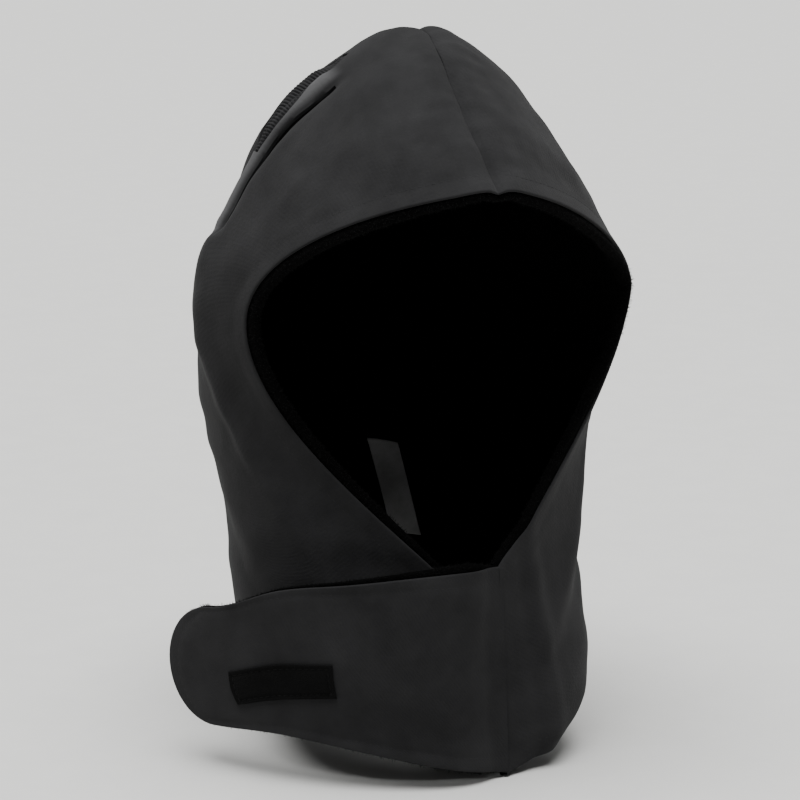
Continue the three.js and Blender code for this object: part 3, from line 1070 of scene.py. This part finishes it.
class PileTufts(Recipe):
    """Tufts of pile that stand on a fleece, thicker where the piece's pile attribute says so."""

    def build(self, tree: Tree, start: Node) -> Socket:
        """Scatters bent tufts over the fleece."""
        dense = calc(tree, "MULTIPLY", read_number(tree, "pile"), start.outputs["Density"])
        spots = add(
            tree,
            "GeometryNodeDistributePointsOnFaces",
            {"distribute_method": "RANDOM"},
            {"Mesh": start.outputs["Geometry"], "Density": dense, "Seed": start.outputs["Seed"]},
        )
        blade = add(
            tree,
            "GeometryNodeMeshCone",
            inputs={
                "Vertices": 3,
                "Side Segments": 2,
                "Radius Top": 0.03,
                "Radius Bottom": 0.13,
                "Depth": 1.0,
            },
        )
        where = add(tree, "GeometryNodeInputPosition")
        up = add(tree, "ShaderNodeSeparateXYZ", inputs={"Vector": where.outputs["Position"]}).outputs["Z"]
        lean = calc(tree, "MULTIPLY", calc(tree, "MULTIPLY", up, up), 0.55)
        bend = add(tree, "ShaderNodeCombineXYZ", inputs={"X": lean})
        bent = add(
            tree,
            "GeometryNodeSetPosition",
            inputs={"Geometry": blade.outputs["Mesh"], "Offset": bend.outputs["Vector"]},
        )
        sunk = add(
            tree,
            "GeometryNodeTransform",
            inputs={"Geometry": bent.outputs["Geometry"], "Translation": (0, 0, -0.12)},
        )
        tilt = add(
            tree,
            "FunctionNodeRandomValue",
            {"data_type": "FLOAT_VECTOR"},
            {0: (-0.7, -0.7, -3.1), 1: (0.7, 0.7, 3.1), "Seed": start.outputs["Seed"]},
        )
        turned = add(
            tree,
            "FunctionNodeRotateEuler",
            {"space": "LOCAL"},
            {"Rotation": spots.outputs["Rotation"], "Rotate By": tilt.outputs["Value"]},
        )
        size = calc(tree, "MULTIPLY", self.uneven(tree, start, 0.55, 1.25), start.outputs["Tuft Length"])
        return self.scatter(tree, spots, sunk, turned.outputs["Rotation"], size)


class KnitRibs(Recipe):
    """Raised ribs on a knitted strip, which run across it and repeat along its course attribute."""

    def build(self, tree: Tree, start: Node) -> Socket:
        """Lifts the strip's outer face into ribs."""
        course, outer = read_number(tree, "course"), read_number(tree, "outer")
        count = calc(tree, "DIVIDE", course, start.outputs["Rib Pitch"])
        wave = calc(tree, "SINE", calc(tree, "MULTIPLY", count, math.pi))
        high = calc(tree, "MULTIPLY", calc(tree, "ABSOLUTE", wave), start.outputs["Rib Height"])
        normal = add(tree, "GeometryNodeInputNormal")
        lift = add(
            tree,
            "ShaderNodeVectorMath",
            {"operation": "SCALE"},
            {0: normal.outputs["Normal"], "Scale": calc(tree, "MULTIPLY", high, outer)},
        )
        raised = add(
            tree,
            "GeometryNodeSetPosition",
            inputs={"Geometry": start.outputs["Geometry"], "Offset": lift.outputs["Vector"]},
        )
        return raised.outputs["Geometry"]


STITCHES = StitchRow(
    "sewn_stitches", {"Pitch": 3.2 * MM, "Stitch Length": 2.5 * MM, "Thread Radius": 0.18 * MM, "Seed": 4}
)
TUFTS = PileTufts("pile_tufts", {"Density": 900000.0, "Tuft Length": 1.3 * MM, "Seed": 11})
RIBS = KnitRibs("knit_ribs", {"Rib Pitch": 1.6 * MM, "Rib Height": 0.8 * MM})


def sew(name: str, paths: Sequence[Grid], thread: Finish = THREAD) -> bpy.types.Object:
    """Lays rows of stitches along paths.

    Args:
        name: The piece's name.
        paths: Points of each row, in metres.
        thread: The thread's finish.

    Returns:
        The stitches as one piece.
    """
    curve = bpy.data.curves.new(name + "_path", "CURVE")
    curve.dimensions = "3D"
    for path in paths:
        spline = curve.splines.new("POLY")
        spline.points.add(len(path) - 1)
        spline.points.foreach_set("co", np.c_[path, np.ones(len(path))].astype(np.float32).ravel())
    guide = bpy.data.objects.new(name + "_path", curve)
    bpy.context.scene.collection.objects.link(guide)
    return show(name, STITCHES.make(guide, name, thread))


def grow_pile(mesh: bpy.types.Mesh, name: str) -> bpy.types.Object:
    """The tufts that stand on a fleece, thicker where its pile number is high."""
    return show(name, TUFTS.make(show(name + "_feed", mesh.copy()), name, PILE))


# The sub-assemblies


@dataclass
class ShellPanel:
    """One twill side of the hood, with its slot, its gusset window and its sewn rows.

    Attributes:
        form: The hood's form.
        side: Which side.
        columns: Steps from foot to seam.
        rows: Steps from face edge to hem.
        gusset_gap: Space around the gusset.
        edge_radius: Radius of the folded edges.
        sewn: Share of an edge's rounding that is left where it is sewn to the flap.
        parting: How wide the slot stands open between its lips, on the right and the left side.
    """

    form: HoodForm
    side: Side
    columns: int = 190
    rows: int = 200
    gusset_gap: float = 0.4 * MM
    edge_radius: float = 1.0 * MM
    sewn: float = 0.05
    parting: tuple[float, float] = (4.5 * MM, 0.7 * MM)

    @property
    def label(self) -> str:
        """The side's name as the wearer has it."""
        return self.side.name.lower()

    def cutter(self, strip: Strip, grow: float, cells: int) -> bpy.types.Object:
        """A solid that cuts a strip's outline through the twill."""
        s, t = grid(np.linspace(0, 1, cells + 1), np.linspace(0, 1, 9))
        along, at = self.form.strip(self.side, strip, s, t, grow)
        outer = self.form.cloth(self.side, along, at, -2.5 * MM)
        inner = self.form.cloth(self.side, along, at, self.form.shell_wall + 1.5 * MM)
        return show("cutter", sheet_mesh("cutter", outer, inner, np.stack([s, t], axis=-1)))

    def build(self) -> bpy.types.Object:
        """Makes the panel and cuts its slot and window."""
        form, side = self.form, self.side
        us = edge_dense(self.columns, FOOT_TO_SEAM, self.edge_radius)
        vs = edge_dense(self.rows, FACE_TO_HEM, self.edge_radius)
        along, at = grid(us, vs)
        face, hem, front, seam = form.distances(side, along, at)
        free = np.minimum(face, hem)
        fold = self.sewn * pinch(front, self.edge_radius, form.shell_wall)
        if side is Side.RIGHT:
            free = np.minimum(free, front)
        fold = np.maximum(fold, pinch(free, self.edge_radius, form.shell_wall))
        fold = np.maximum(fold, pinch(seam, 1.9 * self.edge_radius, form.shell_wall))
        outer = form.cloth(side, along, at, fold, 0.02 * MM)
        inner = form.cloth(side, along, at, form.shell_wall - fold, 0.02 * MM)
        lay = np.stack([front, face], axis=-1)
        name = f"{self.label}_twill_panel"
        mesh = sheet_mesh(name, outer, inner, lay)
        # The slot map places the painted highlight on the lip behind the slot.
        if side is Side.RIGHT:
            add_map(mesh, "slot", np.stack(form.slot_offset(side, along, at), axis=-1))
        thing = show(name, mesh, TWILL)
        slit = replace(SLOT, width=self.parting[side is Side.LEFT], ends=0.6)
        cutters = [self.cutter(slit, 0, 48), self.cutter(GUSSET, self.gusset_gap, 40)]
        for tool in cutters:
            cut = thing.modifiers.new("cut", "BOOLEAN")
            cut.object, cut.operation, cut.solver = tool, "DIFFERENCE", "EXACT"
        mesh = plain_mesh(thing, name + "_cut")
        thing.modifiers.clear()
        for tool in cutters:
            bpy.data.objects.remove(tool)
        thing.data = mesh
        mesh.materials.clear()
        mesh.materials.append(TWILL.material())
        mesh.shade_smooth()
        mesh.set_sharp_from_angle(angle=math.radians(55))
        return finish_piece(thing, f"{self.label}_panel")

    def on_cloth(self, along: Grid, at: Grid) -> Grid:
        """Points where thread lies on the panel."""
        return self.form.cloth(self.side, along, at, 0.1 * MM)

    def stitches(self) -> bpy.types.Object:
        """The rows behind the face edge and above the hem."""
        form, side = self.form, self.side
        along = np.linspace(0.015, 0.985, 160)
        paths = [
            self.on_cloth(along, form.row(side, "face", 9 * MM, along)),
            self.on_cloth(along, form.row(side, "hem", 10 * MM, along)),
        ]
        return finish_piece(sew(f"{self.label}_panel_stitches", paths))

    def dress(self) -> bpy.types.Object:
        panel, thread = self.build(), self.stitches()
        return panel


@dataclass
class RibGusset:
    """The rib-knit strip that fills one window of the shell.

    Attributes:
        form: The hood's form.
        side: Which side.
        depth: How far its base lies below the twill's face.
    """

    form: HoodForm
    side: Side
    depth: float = 1.1 * MM

    def dress(self) -> bpy.types.Object:
        name = f"{self.side.name.lower()}_knit_gusset"
        s, t = grid(np.linspace(0, 1, 241), np.linspace(0, 1, 41))
        along, at = self.form.strip(self.side, GUSSET, s, t)
        outer = self.form.cloth(self.side, along, at, self.depth)
        inner = self.form.cloth(self.side, along, at, self.form.shell_wall)
        long = np.linalg.norm(outer[-1, 20] - outer[0, 20])
        lay = np.stack([(t - 0.5) * GUSSET.width, s * long], axis=-1)
        mesh = sheet_mesh(name, outer, inner, lay)
        rim = np.minimum(np.minimum(s, 1 - s) * 60, np.minimum(t, 1 - t) * 12).clip(0, 1)
        mark(mesh, "course", s * long, s * long)
        mark(mesh, "outer", rim, np.zeros_like(rim))
        thing = show(name, RIBS.make(show(name + "_base", mesh), name, KNIT))
        finish_piece(thing, f"{self.side.name.lower()}_rib_gusset")
        return thing


@dataclass
class FleeceLining:
    """The pile lining, which fills the inside and rolls out past the twill beside the face.

    Attributes:
        form: The hood's form.
        roll: How far it rolls out past the shell beside the face.
        edge_roll: Share of the roll that is left at the throat and the brow.
        columns: Steps over one side.
        rows: Steps from the face edge to the hem.
        edge_radius: Radius of its soft edges.
    """

    form: HoodForm
    roll: float = 5 * MM
    edge_roll: float = 0.2
    columns: int = 120
    rows: int = 150
    edge_radius: float = 2.2 * MM

    def half(self, side: Side) -> tuple[Grid, Grid, Grid, Grid]:
        """One side's outer and inner face, its lay and its distance from the rim."""
        form = self.form
        us = edge_dense(self.columns, FOOT_TO_SEAM, self.edge_radius, both=False)
        vs = edge_dense(self.rows, FACE_TO_HEM, self.edge_radius)
        along, rows = grid(us, np.r_[ROLL_ROWS, vs])
        at = np.maximum(rows, 0)
        share = self.edge_roll + (1 - self.edge_roll) * np.sin(np.pi * along)
        rim = form.point(side, along, np.zeros_like(at), 0)
        out = unit(rim - form.point(side, along, np.full_like(at, 1e-3), 0))
        reach = self.roll * share * np.clip(-rows, 0, 1)
        face, hem, front, _ = form.distances(side, along, at)
        face = face + self.roll * share - reach
        edge = np.minimum(np.minimum(face, hem), front)
        fold = pinch(edge, self.edge_radius, form.lining_wall)
        top = form.shell_wall + form.layer_gap
        outer = form.cloth(side, along, at, top + fold, 0) + out * reach[..., None]
        deep = form.cloth(side, along, at, form.wall - fold, 0) + out * reach[..., None]
        soft = step(0, 3 * MM, edge) * sum(clump.on(deep) for clump in CLUMPS) * MM
        inner = deep - form.normal(side, along, at) * soft[..., None]
        lay = np.stack([front, face], axis=-1)
        return outer, inner, lay, face

    def dress(self) -> bpy.types.Object:
        right, left = self.half(Side.RIGHT), self.half(Side.LEFT)
        outer, inner, lay, face = (
            np.concatenate([r, l[::-1][1:]], axis=0) for r, l in zip(right, left, strict=True)
        )
        name = "fleece_lining"
        mesh = sheet_mesh(name, outer, inner, lay)
        near = step(14 * MM, 7 * MM, face) + 0.004
        lip = step(self.roll + 1 * MM, self.roll - 1 * MM, face)
        mark(mesh, "pile", lip, near)
        tufts = grow_pile(mesh, "fleece_pile")
        thing = show(name, mesh, FLEECE)
        finish_piece(thing, "lining")
        finish_piece(tufts)
        return thing


@dataclass
class ChinFlap:
    """The wrap-over strap, from its seam on the left front edge to its round tip.

    Attributes:
        form: The hood's form.
        length: From its seam to its tip.
        wall: Twill over fleece.
        twill: The twill's share of it.
        seam_gap: Space at its seam.
        edge_radius: Radius of its turned edges.
        past: How far the fleece shows past the twill's lower and upper edge. Past the upper edge it reaches
            far enough to serve as painted shade of the gap above the flap.
        tip_height: About its height near the tip, where its edges are turned.
        fleece_radius: Radius of the fleece's soft edges.
    """

    form: HoodForm
    length: float = 174 * MM
    wall: float = 3.2 * MM
    twill: float = 1.6 * MM
    seam_gap: float = 0.05 * MM
    edge_radius: float = 1.2 * MM
    past: tuple[float, float] = (1 * MM, 4.4 * MM)
    tip_height: float = 80 * MM
    fleece_radius: float = 1.5 * MM

    @property
    def height(self) -> float:
        """Its height at the seam."""
        top, hem = (self.form.point(Side.LEFT, np.array(0.0), np.array(at)) for at in (0.0, 1.0))
        return float(top[2] - hem[2])

    @property
    def tip_loss(self) -> float:
        """The share of that height which is gone at the tip."""
        end = np.array(1.0)
        return float(self.read("low", end) - self.read("top", end))

    def read(self, name: str, at: Grid) -> Grid:
        """One column of the flap's table."""
        return smooth_column(FLAP, name, at)

    def point(self, along: Grid, up: Grid, depth: Grid | float = 0.0) -> Grid:
        """A point of the flap's smooth form.

        Args:
            along: From the seam, 0, to the tip's edge, 1.
            up: From the lower edge, 0, to the upper one, 1.
            depth: Distance in from its outer face, in metres.

        Returns:
            The points, in metres.
        """
        form = self.form
        along, up = np.broadcast_arrays(np.asarray(along, float), np.asarray(up, float))
        top = form.point(Side.LEFT, np.array(0.0), np.array(0.0))
        hem = form.point(Side.LEFT, np.array(0.0), np.array(1.0))
        height = self.height
        radius = height * (1 - self.tip_loss) / 2
        body = self.length - radius
        turn = (up - 0.5) * np.pi
        share = (self.seam_gap + along * (body + radius * np.cos(turn) - self.seam_gap)) / body
        level = up + along * ((1 + np.sin(turn)) / 2 - up)
        near = np.minimum(share, 1)
        low = hem[2] + self.read("low", near) * height
        high = top[2] + self.read("top", near) * height
        z = low + (high - low) * level

        def seen(at: Grid) -> Grid:
            x = self.read("out", at) * form.width / 2
            return np.stack([x, self.read("back", at) * form.depth], axis=-1)

        centre = seen(share)
        tangent = unit(seen(share + 1e-3) - seen(np.maximum(share - 1e-3, 0)))
        lean = np.maximum(1 - share, 0) * ((top[1] - hem[1]) / height) * (z - top[2])
        return np.stack(
            [
                top[0] + centre[..., 0] + tangent[..., 1] * depth,
                top[1] + centre[..., 1] + lean - tangent[..., 0] * depth,
                z,
            ],
            axis=-1,
        )

    def edge(self, along: Grid, up: Grid) -> Grid:
        """Distance from the flap's free edges, in metres."""
        height = self.height * (1 - self.tip_loss * along)
        return np.minimum(np.minimum(up, 1 - up) * height, (1 - along) * self.length)

    def lie(self, along: Grid, up: Grid) -> Grid:
        """How far the worn flap stands off its smooth form, in metres."""
        p = self.point(along, up)
        edge, root = self.edge(along, up), along * self.length
        away = sum(dent.on(p) for dent in FLAP_DENTS) * step(0, 9 * MM, edge) * step(0, 14 * MM, root)
        away = away + FLAP_DRAG.on(p) * step(80 * MM, 12 * MM, root) * step(0, 12 * MM, root)
        away = away + FLAP_ROW.on(edge) * step(0, 8 * MM, root) + FLAP_ROOT.on(root)
        return (away - self.form.turn * lump(root, TURN_WIDTH)) * MM

    def cloth(self, along: Grid, up: Grid, depth: Grid | float = 0.0) -> Grid:
        """A point of the worn flap, at a depth under its outer face."""
        return self.point(along, up, depth - self.lie(along, up))

    def build(self) -> bpy.types.Object:
        """Makes the flap."""
        us = edge_dense(170, self.length, self.edge_radius)
        vs = edge_dense(90, self.tip_height, self.edge_radius)
        along, up = grid(us, vs)
        fold = pinch(self.edge(along, up), self.edge_radius, self.twill)
        outer = self.cloth(along, up, fold)
        inner = self.cloth(along, up, self.twill - fold)
        lay = np.stack([along * self.length, up * self.height], axis=-1)
        name = "chin_flap_strap"
        thing = show(name, sheet_mesh(name, outer, inner, lay), TWILL)
        return finish_piece(thing, "chin_flap")

    def backing(self) -> list[bpy.types.Object]:
        """Makes the fleece behind the twill, which shows as a dark line past its edges, and its pile. The
        wide dark band past the upper edge is painted shade of the gap between flap and cheek.
        """
        soft = self.fleece_radius
        along, rows = grid(edge_dense(120, self.length, soft), edge_dense(60, self.height, soft))
        grown = step(0, 25 * MM, along * self.length)
        # The upper reach is real fleece backing widened into a dark band that is painted shade in the gap
        # above the flap.
        low, high = (reach / self.height * grown for reach in self.past)
        up = -low + rows * (1 + low + high)
        rim = np.minimum(np.minimum(rows, 1 - rows) * self.height, (1 - along) * self.length)
        thick = self.wall - self.twill + 1.0 * MM
        under = self.twill + 0.05 * MM
        fold = pinch(rim, soft, thick)
        outer = self.cloth(along, up, under + fold)
        inner = self.cloth(along, up, under + thick - fold)
        lay = np.stack([along * self.length, up * self.height], axis=-1)
        name = "chin_flap_fleece"
        mesh = sheet_mesh(name, outer, inner, lay)
        near = step(4.5 * MM, 2.5 * MM, rim)
        mark(mesh, "pile", near, near)
        tufts = grow_pile(mesh, "chin_flap_pile")
        return [finish_piece(show(name, mesh, FLEECE)), finish_piece(tufts)]

    def stitches(self) -> bpy.types.Object:
        """The row inside the free edges."""
        line = np.linspace(0, 1, 120)
        inset = 7 * MM
        reach = 1 - inset / self.length
        share = 0.02 + line * (reach - 0.02)
        margin = inset / (self.height * (1 - self.tip_loss * share))
        end = inset / (self.height * (1 - self.tip_loss))
        tip = end + (1 - 2 * end) * line
        ring_along = np.concatenate([share, np.full(120, reach), share[::-1]])
        ring_up = np.concatenate([1 - margin, tip[::-1], margin[::-1]])
        path = self.cloth(ring_along, ring_up, 0.1 * MM)
        return finish_piece(sew("chin_flap_stitches", [path]))

    def dress(self) -> None:
        strap, rows = self.build(), self.stitches()
        fleece, tufts = self.backing()
        patch = ClosurePatch(self).dress()
        flat, area = (self.length, self.height), 0.0135


@dataclass
class ClosurePatch:
    """The stitched tape rectangle on the flap, near its tip.

    Attributes:
        flap: The flap it is sewn on.
        wall: Its thickness.
        gap: Space under it.
        root: Along, lower and upper place of its end nearer the seam.
        tip: The same of its end nearer the flap's tip.
        size: Its width and height.
    """

    flap: ChinFlap
    wall: float = 1.0 * MM
    gap: float = 0.3 * MM
    root: tuple[float, float, float] = (0.475, 0.345, 0.515)
    tip: tuple[float, float, float] = (0.78, 0.275, 0.475)
    size: tuple[float, float] = (53 * MM, 17 * MM)

    def place(self, s: Grid, t: Grid) -> tuple[Grid, Grid]:
        """Where a place of the patch lies on the flap."""
        along = self.root[0] + s * (self.tip[0] - self.root[0])
        low = self.root[1] + s * (self.tip[1] - self.root[1])
        high = self.root[2] + s * (self.tip[2] - self.root[2])
        return along, low + t * (high - low)

    def dress(self) -> list[bpy.types.Object]:
        """Builds the patch and the box of stitches that holds it."""
        wide, high = self.size
        s, t = grid(edge_dense(70, wide, 0.5 * MM), edge_dense(26, high, 0.5 * MM))
        along, up = self.place(s, t)
        edge = np.minimum(np.minimum(s, 1 - s) * wide, np.minimum(t, 1 - t) * high)
        fold = pinch(edge, 0.5 * MM, self.wall)
        sunk = 0.45 * MM * lump(edge - 2.2 * MM, 0.7 * MM)
        outer = self.flap.cloth(along, up, -self.gap - self.wall + fold + sunk)
        inner = self.flap.cloth(along, up, -self.gap - fold)
        name = "closure_tape_patch"
        thing = show(name, sheet_mesh(name, outer, inner, np.stack([s * wide, t * high], axis=-1)), TAPE)
        finish_piece(thing, "closure_patch")
        line = np.linspace(0, 1, 60)
        zero, one = np.zeros(60), np.ones(60)
        inset = 2.2 * MM
        s = np.concatenate([line, one, line[::-1], zero]) * (1 - 2 * inset / wide) + inset / wide
        t = np.concatenate([zero, line, one, line[::-1]]) * (1 - 2 * inset / high) + inset / high
        box = self.flap.cloth(*self.place(s, t), -self.gap - self.wall + 0.35 * MM)
        thread = finish_piece(sew("closure_patch_stitches", [box], DARK_THREAD))
        return [thing, thread]


@dataclass
class CareLabel:
    """The blank satin strip that hangs inside the nape from its upper end.

    Attributes:
        form: The hood's form.
        gap: Space behind it, for the pile.
        wall: Its thickness.
    """

    form: HoodForm
    gap: float = 0.6 * MM
    wall: float = 0.5 * MM

    def dress(self) -> bpy.types.Object:
        form, side = self.form, Side.LEFT
        s, t = grid(np.linspace(0, 1, 61), np.linspace(0, 1, 31))
        at = LABEL.low[1] + s * (LABEL.high[1] - LABEL.low[1])
        middle = LABEL.low[0] + s * (LABEL.high[0] - LABEL.low[0])
        tiny = 1e-3
        stride = form.point(side, middle + tiny, at) - form.point(side, middle, at)
        scale = np.linalg.norm(stride, axis=-1) / tiny
        along = middle + LABEL.width * (t - 0.5) / scale
        curl = 2.6 * MM * (1 - s) ** 2 * (0.4 + t) + 0.7 * MM * np.sin(3.2 * s + 2.0 * t)
        depth = form.wall + self.gap + 1.2 * MM + curl
        outer = form.point(side, along, at) - form.normal(side, along, at) * depth[..., None]
        inner = form.point(side, along, at) - form.normal(side, along, at) * (depth + self.wall)[..., None]
        name = "satin_care_label"
        long = float(np.linalg.norm(np.diff(outer[:, 15], axis=0), axis=-1).sum())
        lay = np.stack([t * LABEL.width, s * long], axis=-1)
        thing = show(name, sheet_mesh(name, outer, inner, lay), SATIN)
        finish_piece(thing, "care_label")
        return thing


@dataclass
class Studio:
    """The floor, the lights and the camera.

    Attributes:
        azimuth: The camera's turn around the hood, in degrees.
        elevation: Its height angle, in degrees.
        distance: From the point it looks at, in metres.
        lens: Focal length in millimetres.
        target: The point it looks at.
        fill: Brightness of the even light from all around.
    """

    azimuth: float = -21.0
    elevation: float = 12.0
    distance: float = 1.28
    lens: float = 120.0
    target: tuple[float, float, float] = (-0.0075, 0.003, -0.170)
    fill: float = 0.2

    def camera(self) -> None:
        """Puts the camera at the photograph's angle."""
        data = bpy.data.cameras.new("camera")
        data.lens, data.sensor_width = self.lens, 36.0
        data.clip_end = 50.0
        a, e = math.radians(self.azimuth), math.radians(self.elevation)
        back = Vector((math.sin(a) * math.cos(e), -math.cos(a) * math.cos(e), math.sin(e)))
        thing = bpy.data.objects.new("camera", data)
        thing.location = Vector(self.target) + back * self.distance
        thing.rotation_euler = back.to_track_quat("Z", "Y").to_euler()
        bpy.context.scene.collection.objects.link(thing)
        bpy.context.scene.camera = thing

    def sun(self, name: str, towards: tuple[float, float, float], spread: float, power: float) -> None:
        """A wide soft light from one direction, the same all over the floor."""
        data = bpy.data.lights.new(name, "SUN")
        data.angle, data.energy = math.radians(spread), power
        thing = bpy.data.objects.new(name, data)
        thing.rotation_euler = Vector(towards).to_track_quat("Z", "Y").to_euler()
        bpy.context.scene.collection.objects.link(thing)

    def floor(self) -> None:
        """A plain pale floor just under the hem."""
        z = CAD_BOX[0][2] - 0.5 * MM
        half = 6.0
        corners = [(-half, -half, z), (half, -half, z), (half, half, z), (-half, half, z)]
        mesh = bpy.data.meshes.new("floor")
        mesh.from_pydata(corners, [], [(0, 1, 2, 3)])
        show("floor", mesh, FLOOR)

    def world(self) -> None:
        """Even pale light from all around."""
        world = bpy.data.worlds.new("studio_air")
        world.use_nodes = True
        tree = world.node_tree
        tree.nodes.clear()
        air = add(tree, "ShaderNodeBackground", inputs={"Color": (1, 1, 1, 1), "Strength": self.fill})
        out = add(tree, "ShaderNodeOutputWorld")
        tree.links.new(air.outputs["Background"], out.inputs["Surface"])
        bpy.context.scene.world = world

    def build(self) -> None:
        """Builds the whole studio."""
        self.camera()
        self.floor()
        self.world()
        self.sun("overhead_bank", towards=(-0.08, -0.06, 0.98), spread=56.0, power=7.2)


def main() -> None:
    """Builds the hood's sub-assemblies and the studio in order."""
    logging.basicConfig(level=logging.INFO, format="%(name)s %(message)s")
    form = HoodForm()
    FleeceLining(form).dress()
    for side in Side:
        RibGusset(form, side).dress()
        ShellPanel(form, side).dress()
    ChinFlap(form).dress()
    CareLabel(form).dress()
    Studio().build()


if __name__ == "__main__":
    main()
